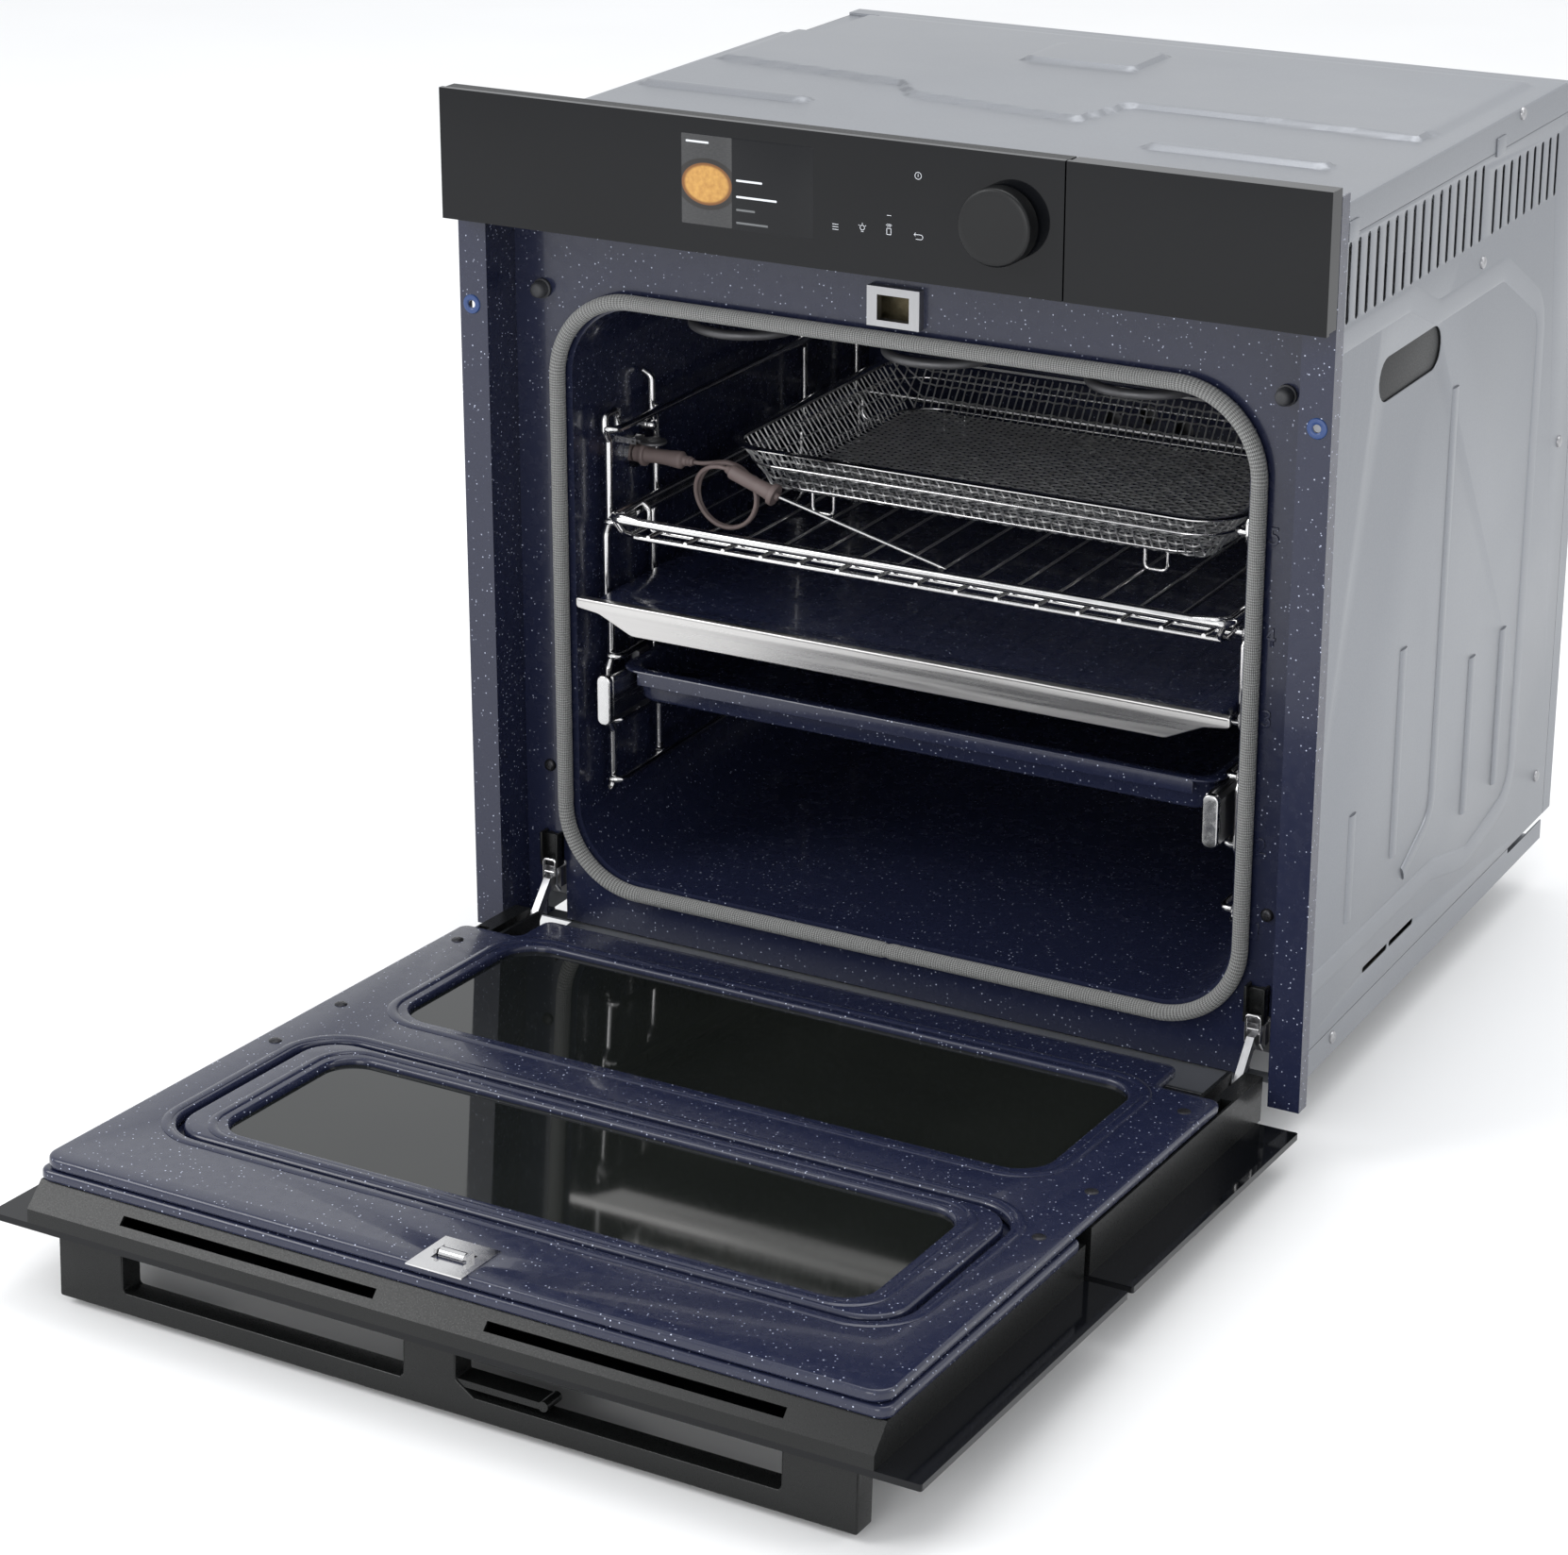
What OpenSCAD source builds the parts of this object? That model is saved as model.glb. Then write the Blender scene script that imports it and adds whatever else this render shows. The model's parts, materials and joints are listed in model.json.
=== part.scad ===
// Built-in wall oven with a split door, a water drawer and two cooking zones.
// X runs to the right, Y into the oven and Z up. Y = 0 is the front of the fixing strips,
// and Z = 0 is the underside of the base, where the oven stands on its cabinet shelf.

/* [Body] */
// Width of the steel body
body_w = 563; // [460:1:680]
// Depth of the body behind the fixing strips
body_d = 498; // [410:1:600]
// Height of the top cover above the shelf
body_h = 554; // [500:1:670]
// Thickness of the body sheet
sheet_t = 1; // [0.7:0.1:1.5]
// Width that the control panel and the door reach past the body on each side
front_overlap = 16; // [12:1:24]
// Height of the bottom rails
rail_h = 18; // [12:1:24]
// Depth of the cover over the fan motor at the back
duct_d = 42; // [20:1:60]

/* [Front frame] */
// Width of each fixing strip
strip_w = 20.5; // [16:0.5:26]
// Thickness of the enamelled front sheet
front_t = 1.2; // [1:0.1:2]
// Depth of the recess that takes the door's inner panel
recess_d = 34; // [30:1:40]
// Diameter of the fixing holes
fixing_hole_d = 5; // [4:0.1:5.4]
// Height of the fixing holes above the shelf
fixing_hole_z = 434; // [300:1:450]

/* [Cavity] */
// Room between the cavity and the body on each side
side_space = 46.5; // [40:0.5:60]
// Height of the cavity floor
cavity_z = 40.5; // [38:0.5:50]
// Room above the cavity for controls, blower and water tank
top_space = 119.5; // [110:0.5:130]
// Room behind the cavity for the fan motor
fan_space = 53; // [48:1:70]
// Corner radius of the cavity
cavity_r = 48; // [30:1:55]
// Diameter of the door seal
seal_d = 10.4; // [8:0.1:10.6]

/* [Door] */
// Angle of the open door from the closed position
door_open = 86.9; // [0:0.1:90]
// Thickness of the outer glass
glass_t = 4; // [3:0.5:4]
// Distance that the door glass hangs below the shelf when closed
door_drop = 14.8; // [14:0.1:18]
// Gap between the door and the control panel
door_gap = 3.5; // [3:0.1:6]
// Diameter of the main hinge pins
hinge_pin_d = 4.9; // [3.5:0.1:5.2]
// Height of the seam between the two outer glasses, door closed
seam_z = 233.7; // [200:0.1:260]
// Width of that seam
seam_gap = 6.5; // [6.4:0.1:8]
// Half length of the handle
handle_half = 257; // [200:1:262]
// Height of the handle bar
handle_h = 16.5; // [12:0.5:20]
// Distance of the handle's far face from the glass
handle_out = 42; // [30:1:60]

/* [Control panel] */
// Height of the control panel
panel_h = 83.5; // [80:0.5:100]
// Distance of the panel glass in front of the fixing strips
panel_out = 16.5; // [14:0.5:20]
// Place of the split between the panel and the water drawer
drawer_x = 134; // [110:1:140]
// Diameter of the dial
dial_d = 47; // [30:1:60]
// Distance that the dial stands out from the panel glass
dial_out = 14.5; // [8:0.5:20]
// Travel of the dial when it is pushed
dial_travel = 1.5; // [0.5:0.1:1.8]

/* [Cooking furniture] */
// Diameter of the side rack wire
rack_wire_d = 5; // [3:0.5:5]
// Height of the frame of the wire shelf
shelf_z = 287.3; // [280:0.1:300]
// Depth of the baking tray
tray_h = 24; // [15:1:28]
// Height of the rim of the baking tray
tray_z = 184; // [180:0.5:188]
// Height of the mesh basket from its rim to its floor
basket_h = 34; // [20:1:40]
// Height of the top of the divider
divider_z = 237; // [232:0.5:240]

/* [Hidden] */
$fn = 48;

// Clearances
fit_gap = 0.5;      // between a loose part and what it rests on or beside
rest_gap = 0.3;     // between a part that rests on another and that part
running_gap = 0.05; // between a shaft and its bore, on the radius

// Overall widths and places
half_w = body_w / 2;
front_half = half_w + front_overlap;
strip_out = front_half - 0.5;
strip_in = strip_out - strip_w;
panel_z1 = body_h + 22.2;
panel_z0 = panel_z1 - panel_h;
cavity_half = half_w - side_space;
cavity_z1 = body_h - top_space;
cavity_back = body_d - fan_space;
cavity_mid = (cavity_z + cavity_z1) / 2;
liner_t = 1.2;
recess_top = panel_z0 - 6;

// Door, in its closed position
glass_out = panel_out + 1;
glass_in = glass_out - glass_t;
glass_z0 = -door_drop;
glass_z1 = panel_z0 - door_gap;
pivot_y = -glass_in + 4.5;
pivot_z = glass_z0 + 9;
flap_y = -glass_in - 1.5;
door_half = half_w - 11.5;
door_face = recess_d - seal_d - fit_gap;
layer_t = 7;
door_top = glass_z1 - 12;
door_bottom = 9;
window_half = cavity_half - 15;

module along_y(y0, y1) {
    translate([0, y1, 0]) rotate([90, 0, 0]) linear_extrude(y1 - y0) children();
}

module along_x(x0, x1) {
    translate([x0, 0, 0]) rotate([90, 0, 90]) linear_extrude(x1 - x0) children();
}

module box(x0, x1, y0, y1, z0, z1) {
    translate([x0, y0, z0]) cube([x1 - x0, y1 - y0, z1 - z0]);
}

// Rectangle between two corners, with round corners
module round_rect(x0, x1, z0, z1, r) {
    translate([x0 + r, z0]) square([x1 - x0 - 2 * r, z1 - z0]);
    translate([x0, z0 + r]) square([x1 - x0, z1 - z0 - 2 * r]);
    for (x = [x0 + r, x1 - r], z = [z0 + r, z1 - r]) translate([x, z]) circle(r);
}

module both_sides() {
    children();
    mirror([1, 0, 0]) children();
}

// Round bar between two points
module bar(a, b, d) {
    v = b - a;
    len = norm(v);
    translate(a) rotate([0, acos(v[2] / len), atan2(v[1], v[0])]) cylinder(d = d, h = len);
}

// Quarter turn of round bar about a centre in the plane of the first two axes
module bend(r, d, angle = 90) {
    rotate_extrude(angle = angle) translate([r, 0]) circle(d = d);
}

module door_pose() {
    translate([0, pivot_y, pivot_z]) rotate([door_open, 0, 0]) translate([0, -pivot_y, -pivot_z])
        children();
}

// ---------------------------------------------------------------- body

hinge_x = 255;
hinge_slot_w = 16;
hinge_slot_z = 45;
hinge_off = cavity_half - 235;
hinge_c = hinge_x + hinge_off;
receiver_pocket_w = 24;
stop_z = cavity_z1 + 6.5;
stop_x = cavity_half + 20.8;
front_screw_z = 60;

module front_frame() color("midnightblue") {
    difference() {
        union() {
            // Fixing strips with a lip turned back round their outer edge
            both_sides() {
                box(strip_in, strip_out, 0, front_t, 2, panel_z1 - 6);
                box(strip_out - front_t, strip_out, 0, 12, 2, panel_z1 - 6);
                box(strip_in, strip_in + front_t, 0, recess_d + front_t, 2, recess_top);
            }
            along_y(recess_d, recess_d + front_t) translate([-strip_in, 2])
                square([2 * strip_in, recess_top - 2]);
            box(-strip_in, strip_in, recess_d, recess_d + 14, recess_top - front_t, recess_top);
            box(-strip_in, strip_in, recess_d, recess_d + 10, 2, 2 + front_t);
            // Beam behind the top of the control panel
            box(-strip_in - 1, strip_in + 1, 0, front_t, body_h - 4, panel_z1 - 6);
        }
        along_y(recess_d - 1, recess_d + front_t + 1)
            round_rect(-cavity_half, cavity_half, cavity_z, cavity_z1, cavity_r);
        both_sides() {
            translate([strip_out - strip_w / 2 + 1.4, front_t + 1, fixing_hole_z]) rotate([90, 0, 0])
                cylinder(d = fixing_hole_d, h = front_t + 2);
            box(hinge_c - hinge_slot_w / 2, hinge_c + hinge_slot_w / 2, recess_d - 1,
                recess_d + 20, 1, hinge_slot_z);
            translate([stop_x, recess_d + 3, stop_z]) rotate([90, 0, 0]) cylinder(d = 6, h = 5);
            translate([stop_x + 2, recess_d + 3, front_screw_z]) rotate([90, 0, 0])
                cylinder(d = 4, h = 5);
        }
        box(-receiver_pocket_w / 2, receiver_pocket_w / 2, recess_d - 1, recess_d + 3,
            stop_z + 11, stop_z + 29);
    }
}

seal_half = cavity_half + 8;
seal_z0 = cavity_z - 6.3;
seal_z1 = cavity_z1 + 6.3;
seal_r = cavity_r + 7;

module door_seal() color("dimgray") translate([0, recess_d - seal_d / 2, 0]) {
    for (s = [-1, 1]) {
        translate([s * seal_half, 0, seal_z0 + seal_r])
            cylinder(d = seal_d, h = seal_z1 - seal_z0 - 2 * seal_r);
    }
    for (z = [seal_z0, seal_z1]) {
        translate([-seal_half + seal_r, 0, z]) rotate([0, 90, 0])
            cylinder(d = seal_d, h = 2 * (seal_half - seal_r));
    }
    corners = [[1, 1, 0], [-1, 1, 90], [-1, -1, 180], [1, -1, 270]];
    for (c = corners) {
        translate([c[0] * (seal_half - seal_r), 0,
                   c[1] > 0 ? seal_z1 - seal_r : seal_z0 + seal_r])
            rotate([90, 0, 0]) rotate([0, 0, c[2]]) bend(seal_r, seal_d);
    }
}

fan_z = cavity_mid;
fan_hole_d = 16;
socket_y = 105;
socket_z = 315.5;
socket_d = 14;
lamp_y = cavity_back - 75;
lamp_z = cavity_z1 - 55;
lamp_d = 44;

module cavity_liner() color("midnightblue") difference() {
    along_y(recess_d + front_t, cavity_back + liner_t)
        round_rect(-cavity_half - liner_t, cavity_half + liner_t, cavity_z - liner_t,
                   cavity_z1 + liner_t, cavity_r + liner_t);
    along_y(recess_d, cavity_back)
        round_rect(-cavity_half, cavity_half, cavity_z, cavity_z1, cavity_r);
    translate([0, cavity_back + 3, fan_z]) rotate([90, 0, 0]) cylinder(d = fan_hole_d, h = 6);
    translate([-cavity_half - 3, socket_y, socket_z]) rotate([0, 90, 0])
        cylinder(d = socket_d, h = 6);
    translate([cavity_half - 3, lamp_y, lamp_z]) rotate([0, 90, 0]) cylinder(d = lamp_d, h = 6);
}

wool_t = 30;
wool_gap = 0.5;

module insulation() color("khaki") difference() {
    along_y(recess_d + 26, cavity_back - 5) difference() {
        translate([-cavity_half - wool_t, rail_h + sheet_t + 0.5])
            square([2 * (cavity_half + wool_t), cavity_z1 + wool_t - rail_h - sheet_t]);
        round_rect(-cavity_half - liner_t - wool_gap, cavity_half + liner_t + wool_gap,
                   cavity_z - liner_t - wool_gap, cavity_z1 + liner_t + wool_gap,
                   cavity_r + liner_t);
        // Pocket for the bottom element
        translate([-cavity_half + 40, cavity_z - 12.5])
            square([2 * cavity_half - 80, 40]);
    }
    translate([-cavity_half - wool_t - 1, socket_y, socket_z]) rotate([0, 90, 0])
        cylinder(d = 30, h = wool_t + 6);
    translate([cavity_half - 5, lamp_y, lamp_z]) rotate([0, 90, 0])
        cylinder(d = 56, h = wool_t + 8);
    // Room for the hinge receivers
    both_sides() box(hinge_c - 12, hinge_c + 30, 0, 90, 0, 62);
}

slot_w = 5;
slot_pitch = 15.2;
slot_y = 55;
front_slots = 16;
rear_slots = 9;
rear_slot_y = slot_y + 252;
slot_z0 = body_h - 73;
slot_z1 = body_h - 24;
rear_slot_z1 = body_h - 31;
skirt_z = body_h - 20;
hand_y0 = 117;
hand_y1 = 224;
hand_z = body_h - 124;
hand_h = 28;
rib_r = 6;
rib_rise = 1.5;
ribs = [[109, 83, 156], [186, 80, 241], [256, 85, 394], [321, 81, 193], [382, 81, 194]];
rear_keep = 25;

module obround(y0, y1, z0, z1) {
    r = min(y1 - y0, z1 - z0) / 2;
    round_rect(y0, y1, z0, z1, r - 0.01);
}

module side_sheet() {
    difference() {
        along_x(half_w - sheet_t, half_w) difference() {
            translate([front_t + 0.3, rail_h])
                square([body_d - front_t - 0.3, skirt_z - rail_h - 0.3]);
            obround(hand_y0, hand_y1, hand_z - hand_h / 2, hand_z + hand_h / 2);
            for (i = [0:front_slots - 1]) {
                y = slot_y + i * slot_pitch;
                if (y + slot_w < body_d - rear_keep) obround(y, y + slot_w, slot_z0, slot_z1);
            }
            for (i = [0:rear_slots - 1]) {
                y = rear_slot_y + i * slot_pitch;
                if (y + slot_w < body_d - rear_keep)
                    obround(y, y + slot_w, slot_z0, rear_slot_z1);
            }
            for (y = [142, 189]) obround(y, y + 44, rail_h + 17, rail_h + 21);
        }
    }
    // Pressed ribs that stiffen the sheet
    intersection() {
        for (r = ribs) if (r[0] + 10 < body_d) {
            translate([half_w - rib_r + rib_rise, r[0], r[1]]) cylinder(r = rib_r, h = r[2] - r[1]);
        }
        box(half_w - sheet_t / 2, half_w + 5, 0, body_d, 0, body_h);
    }
    // Flange turned in at the back
    box(half_w - 14, half_w - sheet_t, body_d - sheet_t, body_d, rail_h, skirt_z - 0.3);
}

module side_panel_right() color("lightsteelblue") side_sheet();

module side_panel_left() color("lightsteelblue") mirror([1, 0, 0]) side_sheet();

top_y = front_t + 0.3;
cover_end = body_d - 53;
cover_y1 = body_d - 0.3;
back_z1 = body_h - 13;
notch_z = skirt_z + 5;
notch_y = cover_end - 95;
notch_w = 59;
slope_w = 25.5;

module cover_section(t) {
    // Left slope, flat top and right skirt, drawn clockwise from the left foot
    polygon([
        [-half_w, skirt_z], [-half_w, skirt_z + 4], [-half_w + slope_w, body_h],
        [half_w, body_h], [half_w, skirt_z], [half_w - t, skirt_z], [half_w - t, body_h - t],
        [-half_w + slope_w + 0.4, body_h - t], [-half_w + t, skirt_z + 3.4], [-half_w + t, skirt_z],
    ]);
}

module top_cover() color("lightsteelblue") {
    difference() {
        union() {
            along_y(top_y, cover_end) cover_section(sheet_t);
            // The rear of the cover falls to the back panel
            along_x(-half_w + notch_w - sheet_t, half_w) polygon([
                [cover_end - 0.1, body_h], [cover_y1, back_z1], [cover_y1, back_z1 - sheet_t],
                [cover_end - 0.1, body_h - sheet_t],
            ]);
            along_x(half_w - sheet_t, half_w) polygon([
                [cover_end - 0.1, skirt_z], [cover_end - 0.1, body_h], [cover_y1, back_z1],
                [cover_y1, skirt_z],
            ]);
        }
        box(-half_w - 1, -half_w + notch_w, notch_y, body_d + 1, skirt_z - 1, body_h + 1);
        // Blower outlet
        box(-half_w + 70, half_w - 160, cover_end - 14, cover_end - 8, body_h - 3, body_h + 1);
    }
    // Floor and walls of the notched corner
    box(-half_w, -half_w + notch_w, notch_y - sheet_t, cover_y1, notch_z - sheet_t, notch_z);
    along_x(-half_w + notch_w - sheet_t, -half_w + notch_w) polygon([
        [notch_y - sheet_t, notch_z - 0.5], [notch_y - sheet_t, body_h - 0.5], [cover_end, body_h - 0.5],
        [cover_y1, back_z1 - 0.5], [cover_y1, notch_z - 0.5],
    ]);
    along_y(notch_y - sheet_t, notch_y) polygon([
        [-half_w + 3, notch_z - 0.5], [-half_w + slope_w + 1, body_h - 0.5],
        [-half_w + notch_w, body_h - 0.5], [-half_w + notch_w, notch_z - 0.5],
    ]);
    box(-half_w, -half_w + sheet_t, notch_y - 1, cover_y1, skirt_z, notch_z);
    // Raised pad and stiffening ribs
    box(-31, 37, notch_y - 97, notch_y + 2, body_h - sheet_t / 2, body_h + 3);
    intersection() {
        union() {
            for (r = [[-half_w + 51, -half_w + 185, 102], [half_w - 137, half_w - 9, 100]]) {
                translate([r[0], r[2], body_h - 4 + rib_rise]) rotate([0, 90, 0])
                    cylinder(r = 4, h = r[1] - r[0]);
            }
        }
        box(-half_w, half_w, 0, body_d, body_h - sheet_t / 2, body_h + 5);
    }
}

inlet_x = half_w - 70;
inlet_z = body_h - 60;

module back_panel() color("lightsteelblue") difference() {
    union() {
        box(-half_w + sheet_t, half_w - sheet_t, body_d + 0.2, body_d + 0.2 + sheet_t, rail_h,
            back_z1);
        // Lip that stands out round the back
        for (x = [-half_w, half_w - sheet_t])
            box(x, x + sheet_t, body_d + 0.2, body_d + 16, rail_h, back_z1);
        box(-half_w, half_w, body_d + 0.2, body_d + 16, back_z1 - sheet_t, back_z1);
    }
    translate([0, body_d + 3, fan_z]) rotate([90, 0, 0]) cylinder(d = 40, h = 6);
    box(inlet_x - 14, inlet_x + 14, body_d - 1, body_d + 3, inlet_z - 11, inlet_z + 11);
}

module duct_cover() color("silver") difference() {
    along_y(body_d + 1.2, body_d + duct_d) round_rect(-150, 150, fan_z - 140, fan_z + 140, 12);
    along_y(body_d, body_d + duct_d - sheet_t)
        round_rect(-149, 149, fan_z - 139, fan_z + 139, 11);
    for (i = [-5:5]) box(i * 20 - 4, i * 20 + 4, body_d, body_d + duct_d + 1, fan_z + 60, fan_z + 110);
}

base_y = 44;
cross_half = cavity_half + 8;

module base_plate() color("lightsteelblue") {
    // Cross member under the front, which joins the two bottom rails
    box(-cross_half, cross_half, 0, base_y + 2, 0, sheet_t);
    both_sides() {
        box(cross_half - 1, half_w, base_y - 10, base_y + 2, 0, sheet_t);
        box(half_w - 14, half_w, base_y, body_d - 2, 0, sheet_t);
        box(half_w - sheet_t, half_w, base_y, body_d - 74, 0, rail_h - 0.2);
        box(half_w - sheet_t, half_w, body_d - 75, body_d - 2, 0, rail_h - 4);
        box(half_w - 14, half_w - 13, base_y, body_d - 2, 0, rail_h - 0.5);
    }
    box(-half_w + sheet_t, half_w - sheet_t, base_y, body_d - 1, rail_h - 0.5, rail_h + 0.5);
}

// ---------------------------------------------------------------- side racks

rack_x = cavity_half - 9;
runner_x = cavity_half - 17;
runner_y1 = cavity_back - 32;
post_y = [58, 118, cavity_back - 120, runner_y1];
low_posts = 354;
high_posts = 369;
levels = [100, 143, 188, divider_z - 13.3, shelf_z - 5.8, 345];

module side_rack() {
    for (i = [0:3]) {
        top = i == 0 ? low_posts : high_posts;
        translate([rack_x, post_y[i], 94]) cylinder(d = rack_wire_d, h = top - 94);
    }
    for (z = levels) {
        translate([runner_x, post_y[0], z]) rotate([-90, 0, 0])
            cylinder(d = rack_wire_d, h = runner_y1 - post_y[0]);
        for (i = [0:3])
            translate([runner_x, post_y[i], z]) rotate([0, 90, 0])
                cylinder(d = rack_wire_d, h = rack_x - runner_x);
    }
    // Pins that hook the rack to the cavity wall
    for (y = [post_y[1], runner_y1])
        translate([rack_x, y, 332]) rotate([0, 90, 0]) cylinder(d = 7, h = 9);
}

module side_rack_right() color("gainsboro") side_rack();

module side_rack_left() color("gainsboro") mirror([1, 0, 0]) side_rack();

// ---------------------------------------------------------------- front fittings

module latch_receiver() color("silver") difference() {
    box(-18, 18, recess_d - 6, recess_d, stop_z + 8, stop_z + 33);
    box(-11, 11, recess_d - 7, recess_d + 1, stop_z + 12, stop_z + 28);
}

eye_r = 3.9;
arm_w = 5;
arm_h = 9;
arm_back = recess_d + 36;
arm_z = 30;

module hinge() {
    difference() {
        union() {
            // Arm from the receiver to the eye that holds the door's pin
            along_x(hinge_c - arm_w / 2, hinge_c + arm_w / 2) {
                translate([pivot_y, pivot_z]) circle(eye_r);
                polygon([
                    [pivot_y - 2.4, pivot_z + 3.0], [pivot_y + 2.2, pivot_z - 3.2],
                    [recess_d - 12, arm_z - arm_h / 2], [arm_back, arm_z - arm_h / 2],
                    [arm_back, arm_z + arm_h / 2], [recess_d - 12, arm_z + arm_h / 2],
                ]);
            }
            // Receiver behind the front sheet
            box(hinge_c - 8, hinge_c + 8, recess_d + front_t + 0.3, arm_back + 4, 20, 44);
            // Bracket in front of the sheet, and the clip that locks the arm
            box(hinge_c - 7, hinge_c + 7, recess_d - 5, recess_d + front_t + 0.3, 27, 41);
        }
        translate([hinge_c - 10, pivot_y, pivot_z]) rotate([0, 90, 0])
            cylinder(r = hinge_pin_d / 2 + running_gap, h = 20);
    }
}

module hinge_right() color("darkgray") hinge();

module hinge_left() color("darkgray") mirror([1, 0, 0]) hinge();

module front_stops() color("dimgray") {
    // Rubber stops for the door, each on a stem through the front sheet
    both_sides() translate([stop_x, recess_d, stop_z]) rotate([90, 0, 0]) {
        cylinder(d = 13, h = 9.5);
        translate([0, 0, -5]) cylinder(d = 5.9, h = 6);
    }
}

module screw_head(d, h) {
    cylinder(d = d, h = h);
    translate([0, 0, -6]) cylinder(d = d / 2.2, h = 6.5);
}

side_screws = [[355, body_h - 4], [294, body_h - 88], [477, 54], [93, 11]];

module side_screw(place) {
    if (place[0] + 10 < body_d)
        translate([half_w, place[0], place[1]]) rotate([0, 90, 0]) cylinder(d = 8, h = 1.8);
}

module body_screws() color("silver") {
    side_screw(side_screws[0]);
    both_sides() {
        translate([stop_x + 2, recess_d, front_screw_z]) rotate([90, 0, 0]) screw_head(8, 2.4);
        for (i = [1 : len(side_screws) - 1]) side_screw(side_screws[i]);
    }
}

// ---------------------------------------------------------------- control panel

dial_x = drawer_x - 38.7;
dial_z = panel_z0 + 42.3;
shaft_d = 6;
drawer_back = -fit_gap;

module panel_glass() color("black") difference() {
    along_y(-panel_out, -panel_out + glass_t)
        translate([-front_half, panel_z0]) square([front_half + drawer_x - 0.5, panel_h]);
    translate([dial_x, 0, dial_z]) rotate([90, 0, 0]) cylinder(d = shaft_d + 2, h = panel_out + 1);
}

module frame_tray(x0, x1, back) {
    wall = 2;
    difference() {
        box(x0, x1, -panel_out + glass_t, back, panel_z0 + 1, panel_z1 - 0.6);
        box(x0 + wall, x1 - wall, -panel_out, 5, panel_z0 + 1 + wall, panel_z1 - 0.6 - wall);
    }
}

module panel_frame() color("dimgray") frame_tray(-front_half + 0.6, drawer_x - 0.8, 0);

display_x0 = dial_x - 225.3;
display_w = 97;

module control_board() color("darkgreen") difference() {
    union() {
        box(display_x0 - 60, drawer_x - 8, -5.6, -4, panel_z0 + 3, panel_z1 - 2.6);
        box(display_x0, display_x0 + display_w, -panel_out + glass_t + 0.2, -5.5, panel_z0 + 19,
            panel_z0 + 70);
        translate([dial_x, -4.5, dial_z]) rotate([90, 0, 0])
            cylinder(d = 16, h = panel_out - glass_t - 5);
    }
    translate([dial_x, 1, dial_z]) rotate([90, 0, 0])
        cylinder(r = shaft_d / 2 + running_gap, h = panel_out + 2);
}

module dial_shaft() color("silver") translate([dial_x, -panel_out - dial_out + 4, dial_z])
    rotate([-90, 0, 0]) cylinder(d = shaft_d, h = panel_out + dial_out - 2);

module dial() color("black") difference() {
    union() {
        translate([dial_x, -panel_out - dial_travel - 0.5, dial_z]) rotate([90, 0, 0])
            cylinder(d = dial_d, h = dial_out - dial_travel - 1.5);
        translate([dial_x, -panel_out - dial_out + 1, dial_z]) rotate([90, 0, 0])
            cylinder(d = dial_d - 2, h = 1);
    }
    translate([dial_x, 1, dial_z]) rotate([90, 0, 0])
        cylinder(r = shaft_d / 2 + running_gap, h = panel_out + dial_out - 3 + running_gap);
}

tank_x0 = drawer_x + 12;
tank_x1 = half_w - 15;
tank_z0 = panel_z0 + 5;
tank_z1 = body_h - 14;
tank_y1 = body_d - 190;
tank_wall = 2;

module drawer_front() color("black") {
    along_y(-panel_out, -panel_out + glass_t) translate([drawer_x + 0.5, panel_z0])
        square([front_half - drawer_x - 0.5, panel_h]);
    frame_tray(drawer_x + 0.8, front_half - 0.6, drawer_back);
    box(tank_x0, tank_x1, drawer_back - 2, drawer_back, panel_z0 + 2, panel_z1 - 2);
}

module water_tank() color("lightgray") difference() {
    box(tank_x0, tank_x1, drawer_back, tank_y1, tank_z0, tank_z1);
    box(tank_x0 + tank_wall, tank_x1 - tank_wall, drawer_back + tank_wall, tank_y1 - tank_wall,
        tank_z0 + tank_wall, tank_z1 + 1);
}

module tank_lid() color("white") difference() {
    union() {
        box(tank_x0, tank_x1, drawer_back, tank_y1, tank_z1, tank_z1 + 2);
        box(tank_x0 + 25, tank_x1 - 25, 12, 60, tank_z1 + 1, tank_z1 + 6);
    }
    box(tank_x0 + 28, tank_x1 - 28, 15, 57, tank_z0, tank_z1 + 7);
}

module drawer_guide() color("gray") {
    for (y = [60, tank_y1 - 30])
        box(tank_x0 + 10, tank_x1 - 10, y, y + 20, deck_z + sheet_t, tank_z0 - 2);
    box(tank_x0 - 3, tank_x1 + 3, 40, tank_y1 + 12, tank_z0 - 2.2, tank_z0 - 1);
    box(tank_x0 - 3, tank_x0 - 1.8, 40, tank_y1 + 12, tank_z0 - 2, tank_z0 + 20);
    box(tank_x1 + 1.8, tank_x1 + 3, 40, tank_y1 + 12, tank_z0 - 2, tank_z0 + 20);
    box(tank_x0 - 3, tank_x1 + 3, tank_y1 + 10.8, tank_y1 + 12, tank_z0 - 2, tank_z0 + 20);
}

// ---------------------------------------------------------------- heat, air and steam

cover_half = 130;
cover_front = cavity_back - 22;
fan_r = 72;
heater_r = 92;
heater_d = 6.4;
motor_shaft_d = 8;
motor_d = 62;

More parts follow.
